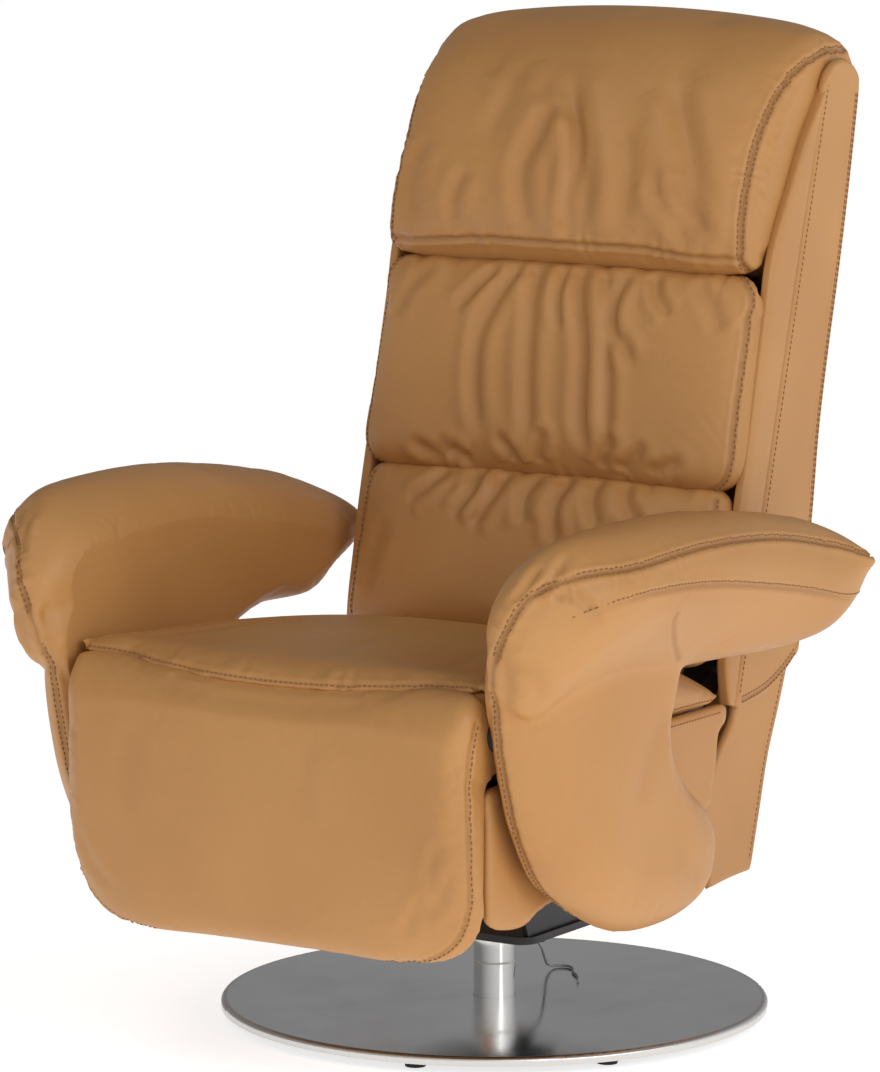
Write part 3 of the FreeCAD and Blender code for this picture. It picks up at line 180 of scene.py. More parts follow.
def two_faced(name, front, back):
    """Two grids that share their border, welded into one closed pad."""
    rows, columns, _ = front.shape
    faces = grid_faces(rows, columns)
    faces += [f[::-1] for f in grid_faces(rows, columns, rows * columns)]
    return mesh_object(name, np.vstack([front.reshape(-1, 3), back.reshape(-1, 3)]), faces)


def buttoned(name, outline, centre, front, rear, seam, edge, place, rings=46):
    """Pad filled in from a closed outline. Each ring is the outline shrunk towards the centre by
    r, and each face leaves the seam as (1 - r ^ edge) ^ 0.5 of its own height."""
    outline = np.asarray(outline, float)
    r = np.sin(np.linspace(0, math.pi / 2, rings))[:, None]
    flat = np.asarray(centre) + r[..., None] * (outline - centre)
    rise = np.sqrt(np.maximum(1 - r ** edge, 0))
    a, b = flat[..., 0], flat[..., 1]
    base = seam(a, b)
    top = place(a, b, base + (front(a, b) - base) * rise)
    low = place(a, b, base + (rear(a, b) - base) * rise)
    return skinned(name, np.concatenate([top, low[::-1][1:]]))


def rounded_box(half_a, low, high, power, count=260):
    """Outline of a rounded oblong: |a / A| ^ n + |b / B| ^ n = 1."""
    t = np.linspace(0, 2 * math.pi, count, endpoint=False)
    c, s = np.cos(t), np.sin(t)
    a = np.sign(c) * np.abs(c) ** (2 / power) * half_a
    b = np.sign(s) * np.abs(s) ** (2 / power) * (high - low) / 2 + (high + low) / 2
    return np.stack([a, b], -1)


def settled(made):
    """Take the modifiers' result as the piece's own mesh."""
    graph = bpy.context.evaluated_depsgraph_get()
    mesh = bpy.data.meshes.new_from_object(made.evaluated_get(graph))
    made.modifiers.clear()
    made.data = mesh
    return made


def even_skin(made, voxel, smooth, *others):
    """Join, remesh evenly at the voxel size in millimetres, and smooth."""
    if others:
        with bpy.context.temp_override(
            active_object=made, selected_editable_objects=[made, *others]
        ):
            bpy.ops.object.join()
    remesh = made.modifiers.new("even", "REMESH")
    remesh.mode = "VOXEL"
    remesh.voxel_size = voxel * MM
    softer = made.modifiers.new("soft", "SMOOTH")
    softer.factor = 0.5
    softer.iterations = smooth
    settled(made)
    return made


def finer(made):
    """Catmull-Clark subdivision, for the seams and stitches that come after."""
    sub = made.modifiers.new("finer", "SUBSURF")
    sub.levels = 1
    settled(made)
    return made


def coordinates(made):
    """The mesh's points in millimetres."""
    co = np.empty(len(made.data.vertices) * 3, np.float32)
    made.data.vertices.foreach_get("co", co)
    return co.reshape(-1, 3).astype(float) / MM


def move_to(made, co):
    made.data.vertices.foreach_set("co", (co * MM).astype(np.float32).ravel())
    made.data.update()


def normals(made):
    n = np.empty(len(made.data.vertices) * 3, np.float32)
    made.data.vertices.foreach_get("normal", n)
    return n.reshape(-1, 3).astype(float)


def puffed(made, cap):
    """Let the cover swell like a stuffed one: cloth under a small inner pressure for 8 steps,
    with no point moving further than the cap in millimetres."""
    before = coordinates(made)
    cloth = made.modifiers.new("swell", "CLOTH")
    settings = cloth.settings
    settings.use_pressure = True
    settings.uniform_pressure_force = 7.0
    settings.effector_weights.gravity = 0.0
    settings.quality = 3
    scene = bpy.context.scene
    cloth.point_cache.frame_start = 1
    cloth.point_cache.frame_end = 8
    for step in range(1, 9):
        scene.frame_set(step)
    settled(made)
    scene.frame_set(1)
    after = coordinates(made)
    step = after - before
    length = np.maximum(np.linalg.norm(step, axis=1, keepdims=True), 1e-9)
    move_to(made, before + step / length * np.minimum(length, cap))
    return made


def along(line, spacing=1.2):
    """Smooth line resampled finely, with each sample's place along it in millimetres."""
    line = np.asarray(line, float)
    length = np.linalg.norm(np.diff(line, axis=0), axis=1).sum()
    fine = curve_through(line, max(int(length / spacing), 8))
    run = np.concatenate([[0], np.cumsum(np.linalg.norm(np.diff(fine, axis=0), axis=1))])
    return fine, run


def near(co, line, reach):
    """The points within reach of a line, with their distance to it and place along it."""
    fine, run = along(line)
    inside = np.all((co > fine.min(0) - reach) & (co < fine.max(0) + reach), axis=1)
    index = np.nonzero(inside)[0]
    if not len(index):
        return index, np.zeros(0), np.zeros(0), run[-1]
    p = co[index]
    best = np.full(len(index), 1e9)
    place = np.zeros(len(index))
    for start in range(0, len(fine), 200):
        part = fine[start:start + 200]
        d2 = (p ** 2).sum(1)[:, None] + (part ** 2).sum(1)[None] - 2 * p @ part.T
        k = d2.argmin(1)
        value = d2[np.arange(len(p)), k]
        better = value < best
        best = np.where(better, value, best)
        place = np.where(better, run[start:start + 200][k], place)
    distance = np.sqrt(np.maximum(best, 0))
    close = distance < reach
    return index[close], distance[close], place[close], run[-1]


def paint_crease_shade(made, index, amount):
    """Add painted shade to the attribute that darkens the leather's colour in seams and folds."""
    layer = made.data.attributes.get("painted_crease_shade")
    if layer is None:
        layer = made.data.attributes.new("painted_crease_shade", "FLOAT", "POINT")
    values = np.zeros(len(made.data.vertices), np.float32)
    layer.data.foreach_get("value", values)
    values[index] = np.maximum(values[index], amount)
    layer.data.foreach_set("value", values)


def pressed(made, line, depth, width, swell=0.35, ends=(0.0, 0.0), dark=0.5):
    """Sink a line into the cover and raise its banks: along the normal by
    -depth e^-(d / width)^2 + swell depth e^-((d - 1.9 width) / 1.1 width)^2, times a share that
    runs from each end's value to 1. The valley also gets painted shade, dark times its share."""
    co = coordinates(made)
    n = normals(made)
    index, d, s, length = near(co, line, width * 4.5)
    if not len(index):
        return made
    t = s / length
    rise = np.minimum(1, ends[0] + t / 0.22) * np.minimum(1, ends[1] + (1 - t) / 0.22)
    share = rise * rise * (3 - 2 * rise)
    valley = np.exp(-(d / width) ** 2)
    bank = np.exp(-((d - 1.9 * width) / (1.1 * width)) ** 2)
    co[index] += n[index] * ((swell * bank - valley) * depth * share)[:, None]
    move_to(made, co)
    # Painted shade: the groove's colour darkens where its shade falls
    paint_crease_shade(made, index, valley * share * dark)
    return made


def puckered(made, line, depth, reach, pitch, seed=0.0):
    """Small gathers square to a seam: depth e^-(d / reach)^2 times the square of a sine along
    the seam whose phase wanders."""
    co = coordinates(made)
    n = normals(made)
    index, d, s, _ = near(co, line, reach * 2.2)
    if not len(index):
        return made
    phase = (2 * math.pi * s / pitch + 1.9 * np.sin(2 * math.pi * s / (pitch * 3.7) + seed)
             + 1.1 * np.sin(2 * math.pi * s / (pitch * 1.9) + 2 * seed))
    wave = np.sin(phase) * (0.6 + 0.4 * np.sin(2 * math.pi * s / (pitch * 5.3) + 3 * seed))
    co[index] += n[index] * (depth * np.exp(-(d / reach) ** 2) * wave)[:, None]
    move_to(made, co)
    return made


def on_surface(tree, line):
    """Points of a line dropped onto the nearest place of a surface, and the normals there."""
    hits = [tree.find_nearest(Vector(p * MM)) for p in line]
    return (np.array([h[0] for h in hits], float) / MM, np.array([h[1] for h in hits], float))


def surface_of(made):
    return BVHTree.FromObject(made, bpy.context.evaluated_depsgraph_get())


def laid(made, line, count=60):
    """A line through a few points, laid onto the cover."""
    return on_surface(surface_of(made), curve_through(line, count))[0]


def on_back(made, points, count=60):
    """A line through places x, u and w of the leaning back, laid onto the cover."""
    return laid(made, leaned(*np.array(points, float).T), count)


STITCH_LONG = 4.4
STITCH_PITCH = 6.2
THREAD_R = 0.75
STITCH_APART = 3.3


def stitches(made, line, rows=(-1, 1), apart=STITCH_APART, lift=0.25):
    """Thread along a seam: each stitch is a small six-sided spindle, sunk at both ends. Returns
    their points and faces, for one object of thread."""
    tree = surface_of(made)
    fine, run = along(line, 1.0)
    count = max(int(run[-1] / STITCH_PITCH), 2)
    at = (np.arange(count) + 0.5) * run[-1] / count
    middle = np.stack([np.interp(at, run, fine[:, k]) for k in range(3)], -1)
    ahead = np.stack([np.interp(at + 1.5, run, fine[:, k]) for k in range(3)], -1)
    behind = np.stack([np.interp(at - 1.5, run, fine[:, k]) for k in range(3)], -1)
    tangent = ahead - behind
    tangent /= np.maximum(np.linalg.norm(tangent, axis=1, keepdims=True), 1e-9)
    _, up = on_surface(tree, middle)
    side = np.cross(tangent, up)
    points, faces, first = [], [], 0
    angle = np.arange(6) * math.pi / 3
    reach = np.array([-0.5, -0.34, 0.34, 0.5]) * STITCH_LONG
    radius = np.array([0.25, 1.0, 1.0, 0.25]) * THREAD_R
    sink = np.array([-0.7, 0.0, 0.0, -0.7]) * THREAD_R
    for row in rows:
        seat, up = on_surface(tree, middle + side * row * apart)
        along_row = tangent - up * (tangent * up).sum(1, keepdims=True)
        along_row /= np.maximum(np.linalg.norm(along_row, axis=1, keepdims=True), 1e-9)
        across = np.cross(along_row, up)
        ring = (seat[:, None, None] + up[:, None, None] * (lift + sink)[None, :, None, None]
                + along_row[:, None, None] * reach[None, :, None, None]
                + across[:, None, None] * (radius[:, None] * np.cos(angle))[None, ..., None]
                + up[:, None, None] * (radius[:, None] * np.sin(angle))[None, ..., None])
        total = len(seat)
        points.append(ring.reshape(-1, 3))
        a = np.arange(6)
        b = (a + 1) % 6
        body = np.concatenate([
            np.stack([k * 6 + a, k * 6 + b, k * 6 + 6 + b, k * 6 + 6 + a], -1) for k in range(3)
        ])
        shift = first + 24 * np.arange(total)[:, None, None]
        faces += (body[None] + shift).reshape(-1, 4).tolist()
        faces += (np.arange(6)[::-1][None] + shift[..., 0]).tolist()
        faces += (np.arange(18, 24)[None] + shift[..., 0]).tolist()
        first += 24 * total
    return np.vstack(points), faces


def thread_object(name, runs):
    """One object for all the stitches of a cover."""
    points, faces, first = [], [], 0
    for p, f in runs:
        points.append(p)
        faces += [[i + first for i in face] for face in f]
        first += len(p)
    mesh = bpy.data.meshes.new(name)
    mesh.from_pydata((np.vstack(points) * MM).tolist(), [], faces)
    mesh.update()
    made = bpy.data.objects.new(name, mesh)
    bpy.context.scene.collection.objects.link(made)
    made.data.polygons.foreach_set("use_smooth", np.ones(len(mesh.polygons), bool))
    made.data.materials.append(finish("sewing_thread"))
    return made


def mirrored(made, name):
    """The same piece on the other side of the chair, with its faces turned back."""
    copy = made.copy()
    copy.data = made.data.copy()
    copy.name = name
    bpy.context.scene.collection.objects.link(copy)
    co = coordinates(copy)
    co[:, 0] *= -1
    move_to(copy, co)
    copy.data.flip_normals()
    return copy


def smooth_shaded(made):
    made.data.polygons.foreach_set("use_smooth", np.ones(len(made.data.polygons), bool))
    made.data.update()
    return made


def covered(made, *nodes, fill=0.6):
    """Finish a leather piece: smooth shading, leather, and the solids that it stands for."""
    smooth_shaded(made)
    made.data.materials.clear()
    made.data.materials.append(finish("tan_leather"))
    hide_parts(*nodes)
    return made


# Materials


def add(material, kind, values=None, links=None):
    """Add one shader node, set its properties and sockets, and link its inputs. A number stands
    for the socket at that place: in Map Range 1 and 2 are the range that comes in, and 3 and 4
    the one that goes out; in Mix 0 is the factor, and 6 and 7 the two colours."""
    tree = material.node_tree
    made = tree.nodes.new(kind)
    for key, value in (values or {}).items():
        if isinstance(key, str) and key in made.bl_rna.properties:
            setattr(made, key, value)
        else:
            made.inputs[key].default_value = value
    for key, source in (links or {}).items():
        tree.links.new(source, made.inputs[key])
    return made


def per_mm(size):
    """Scale of a pattern on Object coordinates whose parts are this many millimetres."""
    return 1000.0 / size


def surface(name, values):
    """New material with a Principled surface, its constant values set on its own sockets."""
    material = bpy.data.materials.new(name)
    material.use_nodes = True
    material.node_tree.nodes.clear()
    shader = add(material, "ShaderNodeBsdfPrincipled", values)
    add(material, "ShaderNodeOutputMaterial", links={"Surface": shader.outputs[0]})
    coords = add(material, "ShaderNodeTexCoord").outputs["Object"]
    return material, shader, coords


def plug_in(material, shader, socket, source):
    material.node_tree.links.new(source, shader.inputs[socket])


def follow(material, shader, pattern, low, high, rough=None, relief=None, stops=(0.3, 0.7)):
    """Let the surface follow one pattern between the stops: its colour from low to high, its
    roughness over a range of its own, and its relief, as a height in millimetres and a share."""
    within = {1: stops[0], 2: stops[1]}
    amount = add(material, "ShaderNodeMapRange", within, {0: pattern}).outputs[0]
    body = add(material, "ShaderNodeMix", {"data_type": "RGBA", 6: (*low, 1), 7: (*high, 1)},
               {0: amount})
    plug_in(material, shader, "Base Color", body.outputs[2])
    if rough:
        sheen = add(material, "ShaderNodeMapRange", {**within, 3: rough[0], 4: rough[1]},
                    {0: pattern})
        plug_in(material, shader, "Roughness", sheen.outputs[0])
    if relief:
        lumps = add(material, "ShaderNodeBump", {"Distance": relief[0] * MM, "Strength": relief[1]},
                    {"Height": pattern})
        plug_in(material, shader, "Normal", lumps.outputs[0])


def grained(name, values, size, detail, low, high, rough=None, relief=None, fine=0.5):
    """Finish that follows one cloudy grain of this size in millimetres."""
    material, shader, coords = surface(name, values)
    grain = add(material, "ShaderNodeTexNoise",
                {"Scale": per_mm(size), "Detail": detail, "Roughness": fine}, {"Vector": coords})
    follow(material, shader, grain.outputs["Fac"], linear(low), linear(high), rough, relief)
    return material


def tan_leather():
    """Corrected-grain upholstery leather, drum dyed and spray finished: warm tan that clouds a
    little from hide to hide, fine pebble grain, a low satin sheen and painted shade in the folds."""
    look = bpy.context.scene.recliner_leather
    material, shader, coords = surface("tan_leather", {
        "IOR": 1.46, "Specular IOR Level": 0.42, "Coat Weight": 0.07, "Coat Roughness": 0.36,
    })
    place = {"Vector": coords}
    cloud = add(material, "ShaderNodeTexNoise", {"Scale": per_mm(220), "Detail": 2.0}, place)
    amount = add(material, "ShaderNodeMapRange", {1: 0.25, 2: 0.7}, {0: cloud.outputs["Fac"]})
    body = add(material, "ShaderNodeMix",
               {"data_type": "RGBA", 6: (*look.shade, 1), 7: (*look.tone, 1)},
               {0: amount.outputs[0]}).outputs[2]
    # Dye settles unevenly over patches about 9 mm wide
    mottle = add(material, "ShaderNodeTexNoise",
                 {"Scale": per_mm(9), "Detail": 4.0, "Roughness": 0.6}, place).outputs["Fac"]
    fleck = add(material, "ShaderNodeMapRange", {1: 0.3, 2: 0.72, 3: 0.97, 4: 1.02}, {0: mottle})
    mixed = add(material, "ShaderNodeMix", {"data_type": "RGBA", "blend_type": "MULTIPLY", 0: 1.0},
                {6: body, 7: fleck.outputs[0]}).outputs[2]
    # Painted shade: seams and folds darken towards the fold colour, following the attribute that
    # pressed lines paint
    painted_crease_shade = add(material, "ShaderNodeAttribute", {"attribute_name": "painted_crease_shade"}).outputs["Fac"]
    depth = add(material, "ShaderNodeMapRange", {4: 0.6}, {0: painted_crease_shade}).outputs[0]
    fold_shaded = add(material, "ShaderNodeMix", {"data_type": "RGBA", 7: (*look.fold_shade_colour, 1)},
               {0: depth, 6: mixed}).outputs[2]
    plug_in(material, shader, "Base Color", fold_shaded)
    sheen = add(material, "ShaderNodeMapRange", {1: 0.3, 2: 0.7, 3: 0.42, 4: 0.56}, {0: mottle})
    plug_in(material, shader, "Roughness", sheen.outputs[0])
    # Pebble grain is about 1 mm on the hide, drawn 1.8 mm wide so that it shows
    pebble = add(material, "ShaderNodeTexVoronoi", {"Scale": per_mm(1.8), "Randomness": 0.9},
                 place).outputs["Distance"]
    wrinkle = add(material, "ShaderNodeTexNoise",
                  {"Scale": per_mm(7), "Detail": 6.0, "Roughness": 0.62}, place).outputs["Fac"]
    pull = add(material, "ShaderNodeTexNoise",
               {"Scale": per_mm(38), "Detail": 2.0, "Roughness": 0.45}, place).outputs["Fac"]
    under = {}
    for height, relief, strength in ((pull, 0.9, 0.45), (wrinkle, 0.35, 0.5), (pebble, 0.16, 0.5)):
        made = add(material, "ShaderNodeBump", {"Distance": relief * MM, "Strength": strength},
                   {"Height": height, **under})
        under = {"Normal": made.outputs[0]}
    plug_in(material, shader, "Normal", under["Normal"])
    return material


def sewing_thread():
    """Bonded polyester thread: a twist of two dull strands, a little darker than the hide."""
    look = bpy.context.scene.recliner_leather
    material, shader, coords = surface("sewing_thread", {"Roughness": 0.62, "IOR": 1.5})
    twist = add(material, "ShaderNodeTexWave", {"Scale": per_mm(2.2), "Distortion": 1.5},
                {"Vector": coords}).outputs["Fac"]
    dark = tuple(0.7 * c for c in look.thread)
    follow(material, shader, twist, dark, look.thread, relief=(0.15, 0.6))
    return material


def polished_steel():
    """Stainless steel sheet, mirror polished: near-clear reflections with a trace of buffing."""
    material, shader, coords = surface("polished_steel", {
        "Metallic": 1.0, "Base Color": (*linear("#D6D5D2"), 1),
    })
    buff = add(material, "ShaderNodeTexNoise", {"Scale": per_mm(60), "Detail": 4.0},
               {"Vector": coords}).outputs["Fac"]
    rough = add(material, "ShaderNodeMapRange", {1: 0.3, 2: 0.7, 3: 0.06, 4: 0.13}, {0: buff})
    plug_in(material, shader, "Roughness", rough.outputs[0])
    return material


def disc_steel():
    """The base's skin, stainless steel: brushed round and then polished on top, so that its
    reflections spread along the radius, with a satin rolled rim."""
    material, shader, coords = surface("disc_steel", {
        "Metallic": 1.0, "Base Color": (*linear("#D9D8D5"), 1), "Anisotropic": 0.85,
    })
    round_axis = add(material, "ShaderNodeTangent", {"direction_type": "RADIAL", "axis": "Z"})
    plug_in(material, shader, "Tangent", round_axis.outputs[0])
    split = add(material, "ShaderNodeSeparateXYZ", links={"Vector": coords})
    flat = add(material, "ShaderNodeCombineXYZ", links={0: split.outputs[0], 1: split.outputs[1]})
    radius = add(material, "ShaderNodeVectorMath", {"operation": "LENGTH"},
                 {0: flat.outputs[0]}).outputs["Value"]
    rim = add(material, "ShaderNodeMapRange", {1: 0.2925, 2: 0.2955}, {0: radius}).outputs[0]
    haze = add(material, "ShaderNodeTexNoise", {"Scale": per_mm(45), "Detail": 4.0},
               {"Vector": coords}).outputs["Fac"]
    top = add(material, "ShaderNodeMapRange", {1: 0.3, 2: 0.7, 3: 0.13, 4: 0.18}, {0: haze})
    mixed = add(material, "ShaderNodeMix", {3: 0.3}, {0: rim, 2: top.outputs[0]}).outputs[0]
    plug_in(material, shader, "Roughness", mixed)
    # Brushing runs round the rim in fine level lines, drawn 0.7 mm apart
    lines = add(material, "ShaderNodeTexNoise", {"Scale": per_mm(0.7), "Detail": 2.0},
                {"Vector": split.outputs[2]}).outputs["Fac"]
    streak = add(material, "ShaderNodeMath", {"operation": "MULTIPLY"}, {0: lines, 1: rim})
    relief = add(material, "ShaderNodeBump", {"Distance": 0.05 * MM, "Strength": 0.35},
                 {"Height": streak.outputs[0]})
    plug_in(material, shader, "Normal", relief.outputs[0])
    return material


def ballast_iron():
    """Cast iron plate, sand cast and painted dull grey: coarse grain, no shine."""
    return grained("ballast_iron", {"Roughness": 0.72}, 3, 5.0, "#2E2F31", "#4A4B4C",
                   relief=(0.4, 0.7), fine=0.65)


def black_rubber():
    """Moulded rubber feet: matt black with a faint bloom."""
    return grained("black_rubber", {"Roughness": 0.78}, 8, 4.0, "#0E0E0F", "#1D1D1E",
                   relief=(0.15, 0.4))


def zinc_steel():
    """Rolled steel, bright zinc plated: cool grey with soft spangle."""
    material, shader, coords = surface("zinc_steel", {"Metallic": 1.0})
    spangle = add(material, "ShaderNodeTexVoronoi", {"Scale": per_mm(9)},
                  {"Vector": coords}).outputs["Color"]
    tone = add(material, "ShaderNodeSeparateColor", links={"Color": spangle}).outputs[0]
    follow(material, shader, tone, linear("#8E9192"), linear("#B4B6B5"), (0.28, 0.42),
           stops=(0.0, 1.0))
    return material


def bearing_plastic():
    """Acetal bushes, turned: off-white and slightly waxy."""
    return grained("bearing_plastic", {
        "Roughness": 0.4, "Subsurface Weight": 0.1, "Subsurface Scale": 0.002,
    }, 5, 3.0, "#D8D4C6", "#E7E4DA")


def black_steel():
    """Powder-coated steel: fine orange peel, half-matt black."""
    return grained("black_steel", {"Coat Weight": 0.1}, 1.6, 3.0, "#121213", "#1C1C1E",
                   (0.42, 0.55), (0.08, 0.6))


def webbing():
    """Elastic seat webbing, rubber cores in a black polypropylene weave with a 3 mm rib."""
    material, shader, coords = surface("webbing", {"Roughness": 0.8, "Sheen Weight": 0.2})
    across, up = (
        add(material, "ShaderNodeTexWave",
            {"Scale": per_mm(3.0) / (2 * math.pi), "bands_direction": direction},
            {"Vector": coords}).outputs["Fac"] for direction in ("X", "Y")
    )
    weave = add(material, "ShaderNodeMath", {"operation": "MULTIPLY"}, {0: across, 1: up})
    follow(material, shader, weave.outputs[0], linear("#15161A"), linear("#34363B"),
           relief=(0.6, 0.8))
    return material


def plywood():
    """Birch plywood, sanded: pale straight grain."""
    material, shader, coords = surface("plywood", {"Roughness": 0.62})
    stretch = add(material, "ShaderNodeMapping", {"Scale": (8.0, 90.0, 90.0)}, {"Vector": coords})
    grain = add(material, "ShaderNodeTexNoise", {"Scale": 1.0, "Detail": 6.0, "Distortion": 0.6},
                {"Vector": stretch.outputs[0]}).outputs["Fac"]
    follow(material, shader, grain, linear("#B58F5E"), linear("#D9BA8B"), relief=(0.2, 0.4))
    return material


def black_plastic():
    """Injection-moulded nylon housings, spark-eroded to a fine matt."""
    return grained("black_plastic", {"IOR": 1.53}, 0.9, 3.0, "#101011", "#1A1A1C",
                   (0.44, 0.58), (0.06, 0.5))


def grey_cable():
    """Extruded PVC sheath: light grey, smooth, with a soft gloss."""
    return grained("grey_cable", {"Roughness": 0.38, "IOR": 1.53}, 12, 2.0, "#8A8B8D", "#A6A7A8")


def studio_floor():
    """Matt painted studio floor, near white with the least unevenness, and lit a little from
    within so that it stays white."""
    look = bpy.context.scene.recliner_stage
    material, shader, coords = surface("studio_floor", {
        "Roughness": 0.9, "Specular IOR Level": 0.1, "Emission Color": (1, 1, 1, 1),
        "Emission Strength": 0.72,
    })
    drift = add(material, "ShaderNodeTexNoise", {"Scale": per_mm(400), "Detail": 2.0},
                {"Vector": coords}).outputs["Fac"]
    low = tuple(0.985 * c for c in look.floor)
    follow(material, shader, drift, low, look.floor)
    return material


FINISHES = {f.__name__: f for f in (
    tan_leather, sewing_thread, polished_steel, disc_steel, ballast_iron, black_rubber, zinc_steel,
    bearing_plastic, black_steel, webbing, plywood, black_plastic, grey_cable, studio_floor,
)}


def finish(name):
    """The material of that name, made the first time that it is asked for."""
    return bpy.data.materials.get(name + "_finish") or named(FINISHES[name](), name + "_finish")


def named(material, name):
    material.name = name
    return material


# Sizes and colours that a user would change


def colour(name, description, code):
    return bpy.props.FloatVectorProperty(
        name=name, description=description, subtype="COLOR", size=3, min=0, max=1,
        default=linear(code),
    )


class RECLINER_PG_leather(bpy.types.PropertyGroup):
    tone: colour("Tone", "Lighter colour of the hide", "#BE8A50")
    shade: colour("Shade", "Darker colour that the hide clouds to", "#B27E47")
    # Colour of the painted shade that seams and folds darken to
    fold_shade_colour: colour("Fold", "Colour of the dye in seams and folds", "#7A4F27")
    thread: colour("Thread", "Colour of the sewing thread", "#99693A")
    fine: bpy.props.FloatProperty(
        name="Mesh size", description="Spacing of the remeshed covers", default=0.005,
        min=0.003, max=0.01, unit="LENGTH",
    )


class RECLINER_PG_stage(bpy.types.PropertyGroup):
    floor: colour("Floor", "Colour of the studio floor", "#F4F3F1")
    key: bpy.props.FloatProperty(
        name="Key light", description="Power of the large softbox", default=52.0, min=0,
        subtype="POWER", unit="POWER",
    )
    lens: bpy.props.FloatProperty(
        name="Lens", description="Focal length of the camera", default=203.3, min=20,
        unit="CAMERA",
    )


# Stage and lead


def studio_walls(scene):
    """World light like a studio's: bright white walls on the camera's right, darker ones behind
    on the left, and a dim ceiling. Its strength follows the direction alone."""
    world = bpy.data.worlds.new("studio")
    scene.world = world
    world.use_nodes = True
    background = world.node_tree.nodes["Background"]
    direction = add(world, "ShaderNodeTexCoord").outputs["Generated"]
    toward = add(world, "ShaderNodeVectorMath", {"operation": "DOT_PRODUCT", 1: (0.97, -0.25, 0.0)},
                 {0: direction}).outputs["Value"]
    wall = add(world, "ShaderNodeMapRange", {1: -0.55, 2: 0.95, 3: 0.3, 4: 1.1}, {0: toward})
    height = add(world, "ShaderNodeSeparateXYZ", links={0: direction}).outputs[2]
    ceiling = add(world, "ShaderNodeMapRange", {1: 0.2, 2: 0.8, 3: 1.0, 4: 0.34}, {0: height})
    both = add(world, "ShaderNodeMath", {"operation": "MULTIPLY"},
               {0: wall.outputs[0], 1: ceiling.outputs[0]})
    background.inputs["Color"].default_value = (*linear("#FCFCFF"), 1)
    world.node_tree.links.new(both.outputs[0], background.inputs["Strength"])


class RECLINER_OT_stage(bpy.types.Operator):
    """Camera at the catalogue's viewing angle, pale floor and soft studio light"""

    bl_idname = "recliner.stage"
    bl_label = "Stage"

    def execute(self, context):
        scene = context.scene
        look = scene.recliner_stage
        azimuth = math.radians(32.0)
        tilt = math.radians(8.58)
        distance = 6.5
        height = 1.5092
        # The chair sits left of the picture's middle, so the camera turns a little from it
        swing = math.radians(0.526)
        camera = bpy.data.objects.new("camera", bpy.data.cameras.new("camera"))
        scene.collection.objects.link(camera)
        camera.data.lens = look.lens
        camera.data.sensor_width = 36.0
        camera.location = (
            distance * math.sin(azimuth), -distance * math.cos(azimuth), height
        )
        camera.rotation_euler = (math.pi / 2 - tilt, 0.0, azimuth + swing)
        camera.data.clip_end = 100.0
        scene.camera = camera

        size = 60.0
        mesh = bpy.data.meshes.new("studio_floor")
        mesh.from_pydata(
            [(-size, -size, 0), (size, -size, 0), (size, size, 0), (-size, size, 0)],
            [], [(0, 1, 2, 3)],
        )
        floor = bpy.data.objects.new("studio_floor", mesh)
        scene.collection.objects.link(floor)
        mesh.materials.append(finish("studio_floor"))
        studio_walls(scene)
        lights = (
            # name, place, size, share of the key's power
            ("key", (4.2, -1.6, 2.2), 2.4, 1.0),
            ("fill", (-0.6, -2.6, 4.4), 2.4, 0.5),
        )
        for name, place, across, power in lights:
            data = bpy.data.lights.new(name, "AREA")
            data.shape = "DISK"
            data.size = across
            data.energy = look.key * power
            lamp = bpy.data.objects.new(name, data)
            scene.collection.objects.link(lamp)
            lamp.location = place
            aim = Vector((0, -0.1, 0.5)) - Vector(place)
            lamp.rotation_mode = "QUATERNION"
            lamp.rotation_quaternion = aim.to_track_quat("-Z", "Y")
        scene.view_settings.view_transform = "Standard"
        return {"FINISHED"}


# The lead's route as in the part's source, from the plug behind the column to the disc
LEAD_ROUTE = (
    (0.0, 60.0, 70.4), (10.0, 63.0, 73.5), (14.5, 75.0, 62.0), (7.0, 92.0, 48.0),
    (-2.0, 110.0, 38.0), (-12.0, 130.0, 27.0), (-14.0, 147.0, 21.9), (-2.0, 158.0, 21.9),
    (12.0, 149.0, 21.9), (20.0, 132.0, 21.9), (37.0, 118.0, 21.9), (50.0, 94.0, 21.9),
)
LEAD_R = 1.5


class RECLINER_OT_lead(bpy.types.Operator):
    """Thin low-voltage lead from the plug behind the column down to the disc"""

    bl_idname = "recliner.lead"
    bl_label = "Lead"

    def execute(self, context):
        curve = bpy.data.curves.new("thin_lead", "CURVE")
        curve.dimensions = "3D"
        curve.bevel_depth = LEAD_R * MM
        curve.bevel_resolution = 4
        curve.use_fill_caps = True
        spline = curve.splines.new("NURBS")
        spline.points.add(len(LEAD_ROUTE) - 1)
        for point, place in zip(spline.points, LEAD_ROUTE):
            point.co = (*(v * MM for v in place), 1.0)
        spline.order_u = 3
        spline.use_endpoint_u = True
        spline.resolution_u = 12
        lead = bpy.data.objects.new("thin_lead", curve)
        context.scene.collection.objects.link(lead)
        curve.materials.append(finish("grey_cable"))
        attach(lead, "seat")
        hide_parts("lead_cord")
        return {"FINISHED"}


# Seat and footrest

SEAT_HALF = 250.0
COVER_R = 54.0          # outside of the cover where it rolls over the footrest's hinge
UNDER_R = 45.5          # inside of that cover
ROLL_R = 44.0           # footrest's own roll, where the seat's cover lies over it


def front_seam(x):
    """Angle above level, from the hinge, at which the seat's cover meets the footrest's: its
    height is 431 + 21 (x / 230)^2 mm."""
    height = 431.0 + 21.0 * (np.abs(x) / 230.0) ** 2
    return math.asin(min((height - HINGE_Z) / COVER_R, 0.885))


